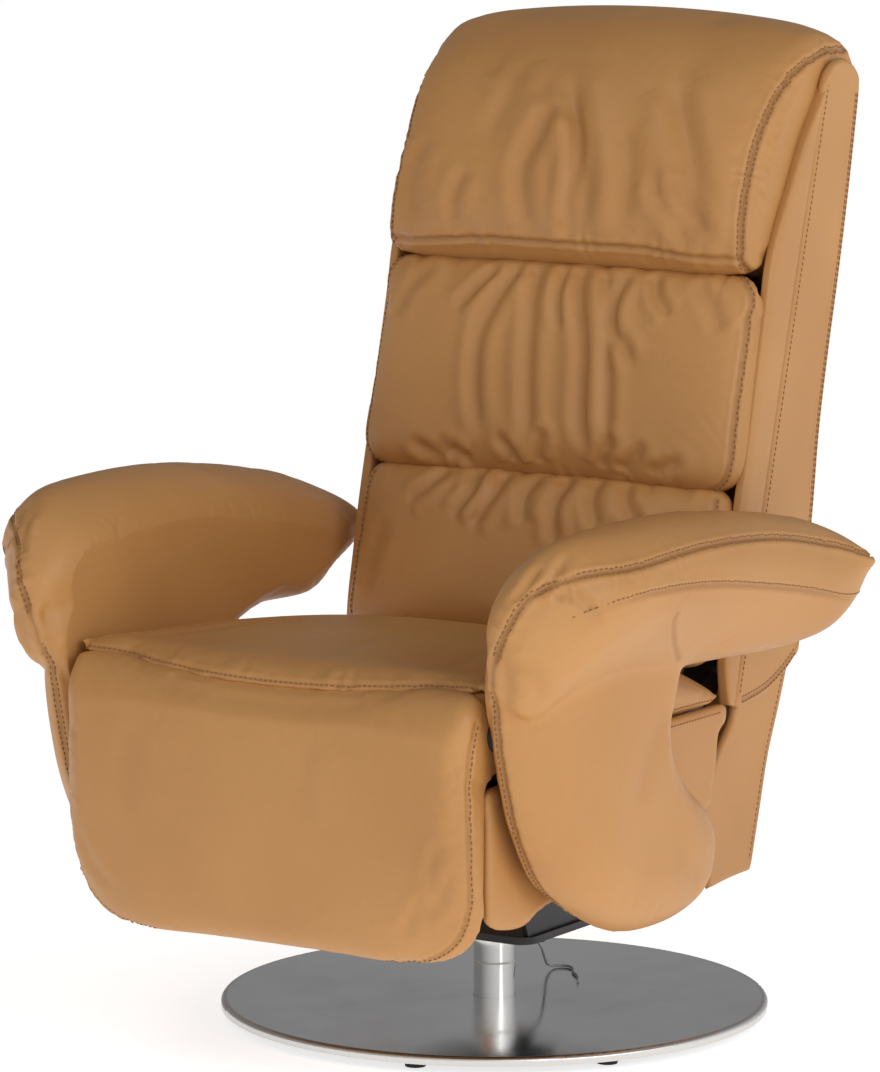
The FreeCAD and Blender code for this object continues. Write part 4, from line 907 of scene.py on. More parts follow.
def seat_height(x, y):
    """Top of the seat: a side height and a crown height along y, mixed by 1 - |x / X| ^ 2.4."""
    ys = (-402, -330, -200, -60, 10, 42, 58)
    side = smooth_table(y, ys, (450.5, 444, 434, 411, 387, 372, 365))
    crown = smooth_table(y, ys, (452.5, 456, 454, 436, 413, 397, 381))
    return side + (crown - side) * (1 - (abs(x) / SEAT_HALF) ** 2.4)


def round_hinge(angles, radius):
    """Points at these angles above level, forward of the footrest's hinge."""
    a = np.radians(angles)
    return np.stack([HINGE_Y - radius * np.cos(a), HINGE_Z + radius * np.sin(a)], -1)


def seat_loop(x):
    """Side profile at one X: top from rear to front, round the roll to the seam, back under
    the cover, and along the bottom."""
    seam = math.degrees(front_seam(x))
    y = np.linspace(50, HINGE_Y, 60)
    top = np.stack([y, seat_height(x, y)], -1)
    over = round_hinge(np.linspace(88, seam + 2, 12), COVER_R)
    over[:, 1] += (top[-1, 1] - HINGE_Z - COVER_R) * np.linspace(1, 0, 12)
    tip = round_hinge([seam - 3], (COVER_R + UNDER_R) / 2)
    under = round_hinge(np.linspace(seam + 2, 176, 22), UNDER_R)
    rest = [(-346, 378), (-338, 361), (-300, 359), (-200, 359), (-80, 359), (30, 359), (52, 361),
            (57, 366)]
    loop = np.vstack([top, over, tip, under, rest])
    return curve_through(loop, 220, closed=True)


def side_rounded(loop_of, half, radius, rounded, steps=70):
    """Loops along X, drawn in near both ends by radius (1 - sqrt(1 - s^2)), times the share
    that each point of the loop is rounded by."""
    xs = half * np.sin(np.linspace(-math.pi / 2, math.pi / 2, steps))
    rows = []
    for x in xs:
        s = np.clip((abs(x) - (half - radius)) / radius, 0, 1)
        loop = loop_of(x)
        inset = radius * (1 - math.sqrt(1 - min(s, 0.995) ** 2))
        loop = drawn_in(loop, inset * rounded(loop))
        rows.append(np.stack([np.full(len(loop), x), loop[:, 0], loop[:, 1]], -1))
    return np.array(rows)


def footrest_loop(x):
    """Side profile at one X: down the bulging front, round the bottom, up the flat rear and
    round the roll."""
    k = abs(x) / 251.0

    def corner(radius):
        """How much a round corner lifts the lower edge at this X."""
        over = max(abs(x) - (251.0 - radius), 0.0)
        return radius - math.sqrt(max(radius ** 2 - over ** 2, 0.0))

    front_low = 152.0 + corner(128.0)
    rear_low = 152.0 + corner(62.0)
    seam = math.degrees(front_seam(x))
    puff = 1 - k ** 4
    shoulder = round_hinge(np.linspace(seam - 2, 0, 12), COVER_R)
    shoulder[:, 0] -= 1.5 * np.sin(np.linspace(0, math.pi / 2, 12))
    face = np.array([
        (-459.0 - 3 * puff, 360), (-460.0 - 5 * puff, 310), (-459.0 - 5 * puff, 255),
        (-456.0 - 4 * puff, 205), (-450.0 - 2 * puff, 172), (-440, 157), (-428, 152.5),
        (-417, 156), (-412, 168), (-411.5, 220), (-411.5, 290), (-411.5, 340),
    ])
    toward_rear = np.clip((face[:, 0] + 452) / 36, 0, 1)
    low = front_low + (rear_low - front_low) * toward_rear
    face[:, 1] = low + (face[:, 1] - 152.0) * (HINGE_Z - low) / (HINGE_Z - 152.0)
    roll = round_hinge(np.linspace(258, seam + 6, 26), ROLL_R)
    return curve_through(np.vstack([shoulder, face, roll]), 200, closed=True)


class RECLINER_OT_seat(bpy.types.Operator):
    """Seat cover that rolls over the front, and the footrest's cover that hangs from it"""

    bl_idname = "recliner.seat"
    bl_label = "Seat and footrest"

    def execute(self, context):
        voxel = context.scene.recliner_leather.fine / MM
        rows = side_rounded(
            seat_loop, 250.8, 16.0, lambda p: np.clip((p[:, 1] - 366) / 26, 0.06, 1)
        )
        seat = even_skin(skinned("seat_leather", rows), voxel, 3)
        puffed(seat, 5.0)
        finer(seat)
        threads = []
        xs = np.linspace(-243, 243, 60)
        edge = np.array([
            (x, *round_hinge([math.degrees(front_seam(x)) + 4.5], COVER_R)[0]) for x in xs
        ])
        edge = laid(seat, edge, 120)
        puckered(seat, edge, 0.7, 26, 30, 0.4)
        pressed(seat, edge, 1.2, 3.2, 0.3, (1, 1), 0.5)
        threads.append(stitches(seat, edge, rows=(0,)))
        for sign in (-1, 1):
            side = laid(seat, [(sign * 251, y, 365) for y in (-150, -80, -10, 44)], 60)
            threads.append(stitches(seat, side, rows=(0,)))
        for points, depth, width in SEAT_FOLDS:
            line = laid(seat, [(x, y, seat_height(x, y)) for x, y in points])
            pressed(seat, line, depth, width, 0.6, (0, 0), 0.1)
        covered(seat, "seat_cushion", fill=0.75)
        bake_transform(seat)
        seam_thread = thread_object("seat_thread", threads)
        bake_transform(seam_thread)

        rows = side_rounded(
            footrest_loop, 251.0, 17.0, lambda p: np.clip((-414 - p[:, 0]) / 30, 0.06, 1), 90
        )
        foot = even_skin(skinned("footrest_leather", rows), voxel, 3)
        puffed(foot, 4.0)
        finer(foot)
        threads = []
        for sign in (-1, 1):
            side = laid(foot, [
                (sign * 250, -436, 412), (sign * 251, -446, 380), (sign * 251, -448, 320),
                (sign * 251, -446, 268), (sign * 246, -440, 226), (sign * 226, -436, 186),
                (sign * 186, -436, 160), (sign * 140, -440, 154),
            ])
            puckered(foot, side[len(side) // 2:], 0.9, 15, 17, 0.7 + sign)
            pressed(foot, side, 1.6, 3.0, 0.4, (1, 0), 0.5)
            threads.append(stitches(foot, side, rows=(-1,)))
        for points, depth, width in FOOT_FOLDS:
            line = laid(foot, [(x, -460, z) for x, z in points])
            pressed(foot, line, depth, width, 0.6, (0, 0), 0.1)
        covered(foot, "footrest_panel", fill=0.7)
        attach(foot, "footrest")
        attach(thread_object("footrest_thread", threads), "footrest")
        return {"FINISHED"}


# Folds as the points of a line, its depth and its half width
SEAT_FOLDS = (
    (((-190, -395), (-150, -300), (-140, -220)), 0.9, 12.0),
    (((60, -410), (40, -330), (48, -240)), 0.7, 11.0),
    (((188, -400), (172, -320), (150, -250)), 0.9, 10.0),
    (((-40, -20), (-20, 10), (-16, 36)), 1.0, 9.0),
    (((120, -20), (110, 10), (116, 36)), 1.0, 9.0),
)
FOOT_FOLDS = (
    (((226, 300), (214, 262), (218, 226)), 1.4, 7.0),
    (((238, 268), (222, 232), (196, 204)), 1.5, 7.0),
    (((206, 240), (186, 206), (176, 182)), 1.2, 7.0),
    (((-228, 260), (-212, 222), (-186, 196)), 1.3, 8.0),
    (((-150, 385), (-158, 330), (-150, 280)), 0.8, 14.0),
    (((70, 392), (62, 340), (66, 290)), 0.6, 13.0),
)


# Cheeks


class RECLINER_OT_cheeks(bpy.types.Operator):
    """Upholstered side panels below the seat, with a row of stitches along their top"""

    bl_idname = "recliner.cheeks"
    bl_label = "Cheeks"

    def execute(self, context):
        outline = curve_through([
            (-411, 216), (-401, 197), (-374, 188.5), (-338, 187.5), (-300, 200), (-140, 222),
            (27, 246), (43, 268), (52, 293), (58, 327), (71, 336), (75, 348), (66, 357),
            (0, 357.6), (-150, 357.6), (-300, 357.6), (-346, 357), (-358, 346), (-384, 341),
            (-411, 336), (-411.5, 300),
        ], 420, closed=True)
        cheek = buttoned(
            "cheek_left", outline, (-160.0, 285.0),
            lambda a, b: np.full_like(a, 251.8), lambda a, b: np.full_like(a, 238.0),
            lambda a, b: np.full_like(a, 245.0), 60,
            lambda a, b, h: np.stack([h, a, b], -1), rings=60,
        )
        even_skin(cheek, 4.0, 1)
        seam = laid(cheek, [(252, y, 350) for y in (-345, -200, -60, 20, 56)], 90)
        thread = thread_object("cheek_thread_left", [stitches(cheek, seam, rows=(0,))])
        other = mirrored(cheek, "cheek_right")
        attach(covered(cheek, "seat_cheek_left", fill=0.5), "seat")
        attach(covered(other, "seat_cheek_right", fill=0.5), "seat")
        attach(thread, "seat")
        right = mirrored(thread, "cheek_thread_right")
        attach(right, "seat")
        return {"FINISHED"}


# Arms

ARM_INNER = 259.6
ARM_STATIONS = (
    # y, then inner foot, inner shoulder, ridge, outer seam, flare and outer foot as x, z
    (-462, 279, 480, 281, 510, 290, 522, 298, 515, 303, 498, 296, 480),
    (-449, 267, 440, 270, 520, 292, 547, 310, 540, 322, 500, 304, 440),
    (-415, 259, 395, 263, 542, 304, 583, 338, 562, 350, 514, 312, 432),
    (-360, 259, 390, 262, 558, 326, 603, 374, 572, 383, 532, 326, 452),
    (-200, 259, 400, 262, 562, 332, 605, 388, 578, 394, 532, 340, 458),
    (-60, 262, 437, 264, 550, 334, 590, 391, 568, 397, 518, 362, 448),
    (40, 264, 440, 266, 535, 334, 572, 395, 548, 400, 502, 382, 452),
    (90, 266, 462, 268, 526, 334, 559, 400, 534, 402, 506, 388, 474),
    (120, 268, 476, 270, 521, 334, 549, 402, 523, 397, 508, 378, 492),
    (144, 270, 486, 272, 518, 322, 538, 368, 524, 370, 511, 352, 500),
    (166, 280, 500, 282, 513, 300, 523, 318, 517, 320, 509, 310, 503),
)
TONGUE = (
    (-449, 480), (-446, 440), (-440, 400), (-424, 340), (-404, 292), (-368, 241), (-321, 206),
    (-262, 176), (-205, 159), (-140, 156), (-90, 165), (-63, 182), (-51, 210), (-53, 240),
    (-76, 272), (-106, 297), (-133, 326), (-153, 360), (-158, 396), (-152, 430), (-145, 470),
    (-180, 500), (-300, 510), (-420, 505),
)
ARM_SEAM = (
    (276, -225, 163), (276, -275, 182), (276, -316, 204), (276, -336, 215), (276, -376, 251),
    (276, -400, 288), (275, -423, 332), (275, -440, 400), (279, -450, 430), (285, -457, 475),
    (298, -461, 510), (318, -441, 550), (348, -405, 566), (376, -365, 572), (388, -319, 576),
    (389, -230, 578), (390, -152, 576), (391, -76, 570), (393, -1, 558), (397, 62, 544),
    (401, 106, 528), (396, 126, 521),
)
ARM_MID_SEAM = (
    (346, -412, 524), (378, -368, 541), (392, -288, 543), (396, -199, 536), (398, -107, 522),
    (398, -13, 505), (397, 60, 489), (388, 112, 488),
)
ARM_DROP_SEAM = ((389, -268, 512), (385, -262, 498), (370, -232, 470), (346, -190, 446))
ARM_FOLDS = (
    # x, y, z of a fold, its depth and its half width
    (((300, -452, 540), (312, -440, 560), (318, -418, 582)), 1.8, 5.0),
    (((316, -440, 545), (330, -420, 566), (334, -395, 588)), 1.6, 5.0),
    (((290, -458, 505), (300, -456, 470), (298, -450, 430)), 1.8, 8.0),
    (((330, -418, 555), (352, -398, 540), (362, -380, 520)), 1.5, 6.0),
    (((300, -452, 490), (322, -438, 470), (330, -425, 440)), 1.2, 8.0),
    (((275, -452, 500), (272, -448, 450), (264, -443, 400)), 1.0, 7.0),
    (((345, -160, 590), (322, -120, 592), (300, -90, 584)), 0.8, 12.0),
    (((340, 20, 576), (318, 40, 568), (300, 56, 556)), 0.9, 10.0),
    (((330, -190, 250), (326, -150, 220), (318, -110, 200)), 0.7, 16.0),
    (((322, -190, 400), (330, -230, 360), (331, -262, 300)), 0.7, 16.0),
)


def arm_pad():
    """Pad carried from the front nose to the rear tip: at each y a closed curve through six
    places of its section, which themselves run smoothly along y."""
    table = curve_through(ARM_STATIONS, 90)
    rows = []
    for line in table:
        p = line[1:].reshape(6, 2)
        loop = np.vstack([p[0], (p[0] + p[1]) / 2, p[1:], (p[5] + p[0]) / 2])
        loop = curve_through(loop, 120, closed=True)
        rows.append(np.stack([loop[:, 0], np.full(120, line[0]), loop[:, 1]], -1))
    return skinned("arm_left_leather", np.array(rows))


def arm_tongue():
    """Panel that hangs from the pad: flat inside, seamed near its inner edge, bulging outwards
    with (1 - r^9) ^ 0.5, and flatter towards the front."""
    def outer(a, b):
        flatter = 38.0 * np.clip((-290 - a) / 150, 0, 1) ** 1.6
        return 329.0 - 10.0 * np.clip((210 - b) / 60, 0, 1) ** 2 - flatter

    return buttoned(
        "tongue", curve_through(TONGUE, 420, closed=True), (-245.0, 320.0), outer,
        lambda a, b: np.full_like(a, 256.0), lambda a, b: np.full_like(a, 274.0), 9,
        lambda a, b, h: np.stack([h, a, b], -1), rings=60,
    )


class RECLINER_OT_arms(bpy.types.Operator):
    """Looped arms: a flared padded rest over an S-shaped hanging panel"""

    bl_idname = "recliner.arms"
    bl_label = "Arms"

    def execute(self, context):
        arm = arm_pad()
        even_skin(arm, context.scene.recliner_leather.fine / MM, 5, arm_tongue())
        puffed(arm, 5.0)
        finer(arm)
        threads = []
        seam = laid(arm, ARM_SEAM, 220)
        puckered(arm, seam[75:150], 1.0, 16, 15, 0.5)
        puckered(arm, seam[:75], 0.5, 14, 26, 1.5)
        puckered(arm, seam[150:], 0.5, 14, 24, 2.5)
        pressed(arm, seam, 2.2, 3.4, 0.4, (1, 1), 0.75)
        threads.append(stitches(arm, seam))
        middle = laid(arm, ARM_MID_SEAM, 120)
        pressed(arm, middle, 1.6, 3.0, 0.35, (0, 0), 0.55)
        threads.append(stitches(arm, middle, rows=(-1,)))
        drop = laid(arm, ARM_DROP_SEAM, 30)
        pressed(arm, drop, 1.4, 3.0, 0.35, (1, 1), 0.5)
        for points, depth, width in ARM_FOLDS:
            pressed(arm, laid(arm, points), 1.3 * depth, width, 0.6, (0, 0), 0.15)
        co = coordinates(arm)
        co[:, 0] = np.maximum(co[:, 0], ARM_INNER)
        move_to(arm, co)
        thread = thread_object("arm_thread_left", threads)
        other = mirrored(arm, "arm_right_leather")
        other_thread = mirrored(thread, "arm_thread_right")
        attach(covered(arm, "arm_left", fill=0.7), "seat")
        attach(covered(other, "arm_right", fill=0.7), "seat")
        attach(thread, "seat")
        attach(other_thread, "seat")
        return {"FINISHED"}


# Cushions of the back

CUSHION_REAR_U = 1.0


def back_pad(name, half, low, high, power, crown, seam_u, rear, edge):
    """Cushion on the leaning back: a rounded oblong in X and w with its own front and rear."""
    return buttoned(
        name, rounded_box(half, low, high, power, 420), (0.0, (low + high) / 2), crown, rear,
        seam_u, edge, lambda a, b, h: leaned(a, h, b), rings=70,
    )


MIDDLE_FOLDS = (
    # X and w along a fold, its depth and its half width
    (((28, 452), (36, 420), (50, 369), (59, 297), (72, 250)), 3.4, 9.0),
    (((66, 450), (74, 400), (86, 330), (96, 250)), 2.4, 8.0),
    (((84, 452), (82, 415), (90, 388), (116, 352)), 3.0, 7.5),
    (((-56, 452), (-72, 415), (-86, 375), (-82, 320), (-66, 262)), 3.2, 9.0),
    (((-84, 450), (-104, 425), (-124, 402)), 2.6, 8.0),
    (((-27, 452), (-22, 400), (-16, 340), (0, 256)), 3.0, 9.0),
    (((6, 454), (10, 420), (20, 385)), 2.6, 6.5),
    (((-118, 250), (-100, 236), (-82, 224)), 2.6, 8.0),
    (((-154, 246), (-134, 234), (-116, 224)), 2.2, 8.0),
    (((-40, 262), (-30, 244), (-26, 226)), 2.4, 7.0),
    (((12, 270), (6, 248), (8, 228)), 2.2, 7.0),
    (((96, 268), (88, 246), (84, 228)), 2.6, 8.0),
    (((134, 262), (122, 246), (112, 228)), 2.2, 8.0),
    (((176, 250), (160, 240), (146, 228)), 1.8, 8.0),
    (((122, 454), (130, 432), (150, 412)), 2.2, 7.0),
    (((180, 448), (196, 428), (214, 396)), 1.6, 9.0),
    (((-176, 446), (-196, 424), (-212, 390)), 1.6, 9.0),
)
LUMBAR_FOLDS = (
    (((-79, 232), (-74, 205), (-92, 170)), 2.8, 8.0),
    (((-39, 232), (-46, 200), (-66, 160)), 2.6, 8.0),
    (((0, 232), (-4, 200), (4, 168)), 2.2, 8.0),
    (((40, 232), (36, 195), (46, 150)), 2.8, 8.0),
    (((78, 232), (80, 205), (96, 172)), 2.4, 8.0),
    (((116, 232), (124, 205), (150, 176)), 2.4, 8.0),
    (((-120, 230), (-136, 206), (-160, 186)), 2.0, 8.0),
    (((-190, 150), (-200, 110), (-196, 76)), 1.2, 12.0),
    (((190, 150), (200, 110), (196, 76)), 1.2, 12.0),
)


class RECLINER_OT_cushions(bpy.types.Operator):
    """Lumbar and middle cushions of the back, gathered along their top and bottom"""

    bl_idname = "recliner.cushions"
    bl_label = "Back cushions"

    def execute(self, context):
        voxel = context.scene.recliner_leather.fine / MM

        def dome(x, half, side, centre, power=2.2):
            return side + (centre - side) * (1 - np.abs(x / half) ** power)

        lumbar = back_pad(
            "lumbar_leather", 236, 34, 241, 9.0,
            lambda x, w: dome(x, 235, 74, 83) - 12 * np.clip((w - 200) / 40, 0, 1) ** 2,
            lambda x, w: 42 + 0 * w, lambda x, w: CUSHION_REAR_U + 0 * w, 6,
        )
        even_skin(lumbar, voxel, 4)
        puffed(lumbar, 6.0)
        finer(lumbar)
        threads = []
        top = on_back(lumbar, [(x, 58, 236) for x in np.linspace(-200, 200, 12)], 100)
        puckered(lumbar, top, 1.5, 26, 38, 0.9)
        for points, depth, width in LUMBAR_FOLDS:
            line = on_back(lumbar, [(x, 84, w) for x, w in points])
            pressed(lumbar, line, 1.5 * depth, width, 0.7, (0.75, 0), 0.2)
        for sign in (-1, 1):
            seam = on_back(lumbar, [
                (sign * 222, 62, 226), (sign * 227, 66, 180), (sign * 228, 67, 130),
                (sign * 227, 66, 80), (sign * 222, 58, 50),
            ], 70)
            pressed(lumbar, seam, 1.8, 3.2, 0.4, (1, 1), 0.6)
            threads.append(stitches(lumbar, seam, rows=(-sign,)))
        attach(covered(lumbar, "lumbar_cushion", fill=0.65), "backrest")
        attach(thread_object("lumbar_thread", threads), "backrest")

        def middle_rear(x, w):
            return CUSHION_REAR_U + 43 * np.clip((w - 436) / 16, 0, 1) ** 1.5

        def middle_seam(x, w):
            return 46 + 12 * np.clip((w - 420) / 40, 0, 1)

        def middle_front(x, w):
            return dome(x, 245, 82, 91) - 9 * np.clip((w - 430) / 40, 0, 1) ** 2

        middle = back_pad(
            "middle_cushion", 245, 226, 474, 9.0, middle_front, middle_seam, middle_rear, 6,
        )
        even_skin(middle, voxel, 4)
        puffed(middle, 6.0)
        finer(middle)
        threads = []
        top = on_back(middle, [(x, 72, 464) for x in np.linspace(-205, 205, 12)], 100)
        puckered(middle, top, 1.5, 26, 37, 0.2)
        low = on_back(middle, [(x, 62, 230) for x in np.linspace(-205, 205, 12)], 100)
        puckered(middle, low, 1.3, 24, 36, 1.7)
        for points, depth, width in MIDDLE_FOLDS:
            line = on_back(middle, [(x, 92, w) for x, w in points])
            pressed(middle, line, 1.5 * depth, width, 0.7, (0.7, 0.1), 0.2)
        for sign in (-1, 1):
            seam = on_back(middle, [
                (sign * 208, 60, 462), (sign * 229, 64, 446), (sign * 238, 70, 410),
                (sign * 240, 72, 350), (sign * 240, 72, 300), (sign * 237, 68, 255),
                (sign * 224, 58, 236), (sign * 205, 52, 230),
            ], 100)
            pressed(middle, seam, 2.0, 3.2, 0.45, (0.4, 0.4), 0.65)
            threads.append(stitches(middle, seam, rows=(-sign,)))
        covered(middle, "back_cushion", fill=0.65)
        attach(middle, "backrest")
        thread = thread_object("middle_thread", threads)
        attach(thread, "backrest")
        for piece in (middle, thread):
            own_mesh(piece)
        return {"FINISHED"}


# Head pillow

HEAD_REAR_U = -37.0
HEAD_LOW_W = 479.0
HEAD_TOP_W = 700.0
HEAD_FOLDS = (
    (((-23, 684), (4, 640), (26, 585), (39, 530), (34, 494)), 3.2, 13.0),
    (((-6, 651), (5, 629), (18, 590), (16, 540), (20, 498)), 2.2, 8.0),
    (((-16, 645), (-29, 605), (-44, 559), (-30, 498)), 2.6, 12.0),
    (((114, 689), (138, 634), (160, 580), (172, 526), (172, 496)), 2.6, 15.0),
    (((113, 566), (137, 530), (168, 496)), 2.2, 9.0),
    (((134, 560), (165, 525), (190, 505)), 2.0, 9.0),
    (((-120, 560), (-132, 525), (-130, 496)), 1.8, 10.0),
    (((-190, 600), (-200, 550), (-192, 505)), 1.6, 13.0),
    (((70, 620), (88, 570), (92, 510)), 1.4, 12.0),
    (((-90, 700), (-84, 650), (-96, 600)), 1.2, 14.0),
)
HEAD_SIDE_SEAM = (
    (60, 474), (80, 477), (90, 500), (95, 530), (94, 560), (90, 596), (78, 634), (60, 669),
    (32, 700), (1, 722), (-31, 736), (-62, 742),
)
GUSSET_LINE = ((53, 492), (50, 513), (34, 573), (21, 628), (3, 668), (-11, 703), (-34, 722))


def head_loop(x):
    """Side profile of the head pillow at one X: flat rear on its board, lip at the bottom,
    crowned front, and a top that rolls over to the rear."""
    at = (0, 110, 205, 222, 231, 236)
    grow = smooth_table(abs(x), at, (29, 22, 7, 0, -8, -20))
    crown = smooth_table(abs(x), at, (38, 34, 22, 16, 8, -4))
    low = HEAD_LOW_W + smooth_table(abs(x), at, (-3, -3, -3, -1, 3, 8))
    top = HEAD_TOP_W
    brow = top - 32 + crown * 0.8
    return curve_through([
        (HEAD_REAR_U, low + 3), (0, low + 2), (40, low + 1), (56 + grow * 0.3, low - 7),
        (74 + grow * 0.6, low - 8), (88 + grow * 0.9, low + 8), (94 + grow, low + 42),
        (93 + grow, (low + brow) / 2 - 10), (84 + grow, (low + brow) / 2 + 50),
        (64 + grow * 0.8, brow), (22 + grow * 0.3, top + 18 + crown),
        (-18, top + 34 + crown), (-50, top + 38 + crown), (-78, top + 33 + crown * 0.8),
        (-91, top + 18 + crown * 0.4), (-91, top + 5), (HEAD_REAR_U - 6, top + 3),
        (HEAD_REAR_U, top - 10), (HEAD_REAR_U, (low + top) / 2),
    ], 220, closed=True)


class RECLINER_OT_head(bpy.types.Operator):
    """Head pillow with gusseted sides, a lip along the bottom and soft upright folds"""

    bl_idname = "recliner.head"
    bl_label = "Head pillow"

    def execute(self, context):
        xs = 235.3 * np.sin(np.linspace(-math.pi / 2, math.pi / 2, 80))
        rows = []
        for x in xs:
            loop = head_loop(x)
            rows.append(leaned(np.full(len(loop), x), loop[:, 0], loop[:, 1]))
        head = skinned("head_pillow", np.array(rows))
        even_skin(head, context.scene.recliner_leather.fine / MM, 4)
        puffed(head, 5.0)
        finer(head)
        threads = []
        for points, depth, width in HEAD_FOLDS:
            line = on_back(head, [(x, 118, w) for x, w in points])
            pressed(head, line, 1.7 * depth, width, 0.7, (0, 0.45), 0.14)
        lip = on_back(head, [
            (x, 112 - 26 * (abs(x) / 222) ** 2, 480) for x in np.linspace(-219, 219, 15)
        ], 160)
        puckered(head, lip, 1.3, 16, 24, 0.6)
        pressed(head, lip, 2.4, 3.4, 0.45, (1, 1), 0.6)
        for sign in (-1, 1):
            seam = on_back(head, [(sign * 222, u, w) for u, w in HEAD_SIDE_SEAM], 120)
            puckered(head, seam, 0.8, 13, 19, 1.1 + sign)
            pressed(head, seam, 2.6, 3.6, 0.45, (1, 1), 0.8)
            threads.append(stitches(head, seam))
            rear = on_back(head, [(sign * 236, u, w) for u, w in GUSSET_LINE], 90)
            pressed(head, rear, 1.6, 3.4, 0.4, (0, 0), 0.55)
        co = coordinates(head)
        co[:, 0] = np.clip(co[:, 0], -235.6, 235.6)
        move_to(head, co)
        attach(covered(head, "head_cushion", fill=0.7), "headrest")
        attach(thread_object("head_thread", threads), "headrest")
        return {"FINISHED"}


# Shell and skirt

SHELL_CURVE = (
    (70.0, -137.0), (150.0, -131.0), (240.0, -122.0), (330.0, -110.0), (420.0, -105.0),
    (498.0, -103.0), (610.0, -97.0), (703.0, -89.0), (740.0, -85.0),
)
SHELL_HALF = 247.0
SHELL_T = 11.0
SHELL_CORNER = 17.0


def shell_depth(w):
    """Depth u of the shell's rear surface at height w, a smooth table."""
    heights, depths = zip(*SHELL_CURVE)
    return smooth_table(w, heights, depths)


def rim(distance, round_r=SHELL_T / 2):
    """Share of the thickness near an edge: a half circle, sqrt(1 - (1 - d / r)^2)."""
    d = np.clip(distance / round_r, 0, 1)
    return np.sqrt(1 - (1 - d) ** 2)


def wrapped_panel(name, front_u, rear_u, low_w, high_w, ends, half, corner, thick, rows, puff):
    """Panel bent round three sides of the back: along one side, round a corner, across the
    rear and back. Its middle surface is offset by half the thickness either way, and the
    thickness closes round all four edges."""
    side = eased(34, 0.35)
    arc = np.linspace(0, math.pi / 2, 10)[1:]
    across = np.linspace(0, 1, 52)[1:]
    mid_half = half - thick / 2
    radius = corner - thick / 2
    # One half of the path: share along the side, angle of the corner, share to the middle
    g = np.concatenate([side, np.ones(len(arc)), np.ones(len(across))])
    turn = np.concatenate([np.zeros(len(side)), arc, np.full(len(across), math.pi / 2)])
    inward = np.concatenate([np.zeros(len(side) + len(arc)), across])
    g = np.concatenate([g, g[:-1][::-1]])
    turn = np.concatenate([turn, turn[:-1][::-1]])
    inward = np.concatenate([inward, inward[:-1][::-1]])
    sign = np.ones(len(g))
    sign[len(g) // 2 + 1:] = -1
    t = eased(rows, 0.3)[:, None]
    low_end, high_end = (rear_u(np.full(1, w)) + corner + 1 for w in ends)
    low = low_w(-1 + g * low_end - radius * np.sin(turn))
    high = high_w(-1 + g * high_end - radius * np.sin(turn))
    w = low + (high - low) * t
    start = front_u(w)
    end = rear_u(w) + corner
    u = start + (end - start) * g - radius * np.sin(turn)
    flat = mid_half - radius
    x = (flat + radius * np.cos(turn)) * (1 - inward)
    out_x = np.cos(turn) * sign
    out_u = -np.sin(turn)
    from_front = (start - end) * g + 1e6 * (turn > 0)
    edge = rim(np.minimum(w - low, high - w), thick / 2) * rim(from_front, thick / 2)
    swell = puff * np.sin(math.pi * t) ** 0.5 * np.sin(math.pi * np.clip(inward, 0, 1)
                                                        * 0.5) ** 0.4
    x = x * sign
    reach = thick / 2 * edge
    outer = leaned(x + out_x * reach, u + out_u * (reach + swell * edge), w)
    inner = leaned(x - out_x * reach, u - out_u * reach, w)
    return two_faced(name, outer, inner)


WING_TOP = ((-91.0, 704.0), (-80.0, 717.0), (-70.0, 725.0), (-58.0, 730.0), (-45.0, 731.0),
            (-28.0, 727.0), (-13.0, 717.0), (-5.0, 705.0), (-1.0, 692.0))
WING_LOW = ((-140.0, 85.0), (-130.0, 84.0), (-118.0, 75.0), (-104.0, 60.0), (-84.0, 42.0),
            (-61.0, 26.0), (-32.0, 12.0), (-10.0, 4.0), (-1.0, 8.0))
SKIRT_FRONT = ((-187.0, -25.0), (-150.0, -4.0), (-107.0, 13.0), (-75.0, 8.0), (-46.0, -3.0),
               (6.6, -23.0), (30.0, -10.0), (80.0, -9.0))
SKIRT_REAR = ((-162.0, -118.0), (-100.0, -119.0), (-30.0, -120.5), (20.0, -128.0),
              (84.5, -136.0))


# How far forward of the piping the padded border of the back stands, as w and u
BORDER_FRONT = ((6.0, 10.0), (40.0, 26.0), (140.0, 40.0), (300.0, 47.0), (420.0, 51.0),
                (495.0, 54.0), (513.0, 51.0), (573.0, 35.0), (628.0, 20.0), (668.0, 4.0),
                (694.0, -6.0))


def back_border(name):
    """Padded border beside the cushions: at each height a rounded oblong in X and u, with
    |x / X| ^ 4 + |u / U| ^ 4 = 1."""
    w = 6 + 688 * eased(150, 0.4)[:, None]
    heights, fronts = zip(*BORDER_FRONT)
    front = smooth_table(w, heights, fronts)
    rear = -3.0 - 9.0 * np.clip((w - 660) / 34, 0, 1)
    t = np.linspace(0, 2 * math.pi, 120, endpoint=False)
    c, s = np.cos(t), np.sin(t)
    x = 239.6 + 7.6 * np.sign(c) * np.abs(c) ** 0.5 + 0 * w
    u = (front + rear) / 2 + (front - rear) / 2 * np.sign(s) * np.abs(s) ** 0.5
    return skinned(name, leaned(x, u, w + 0 * x))


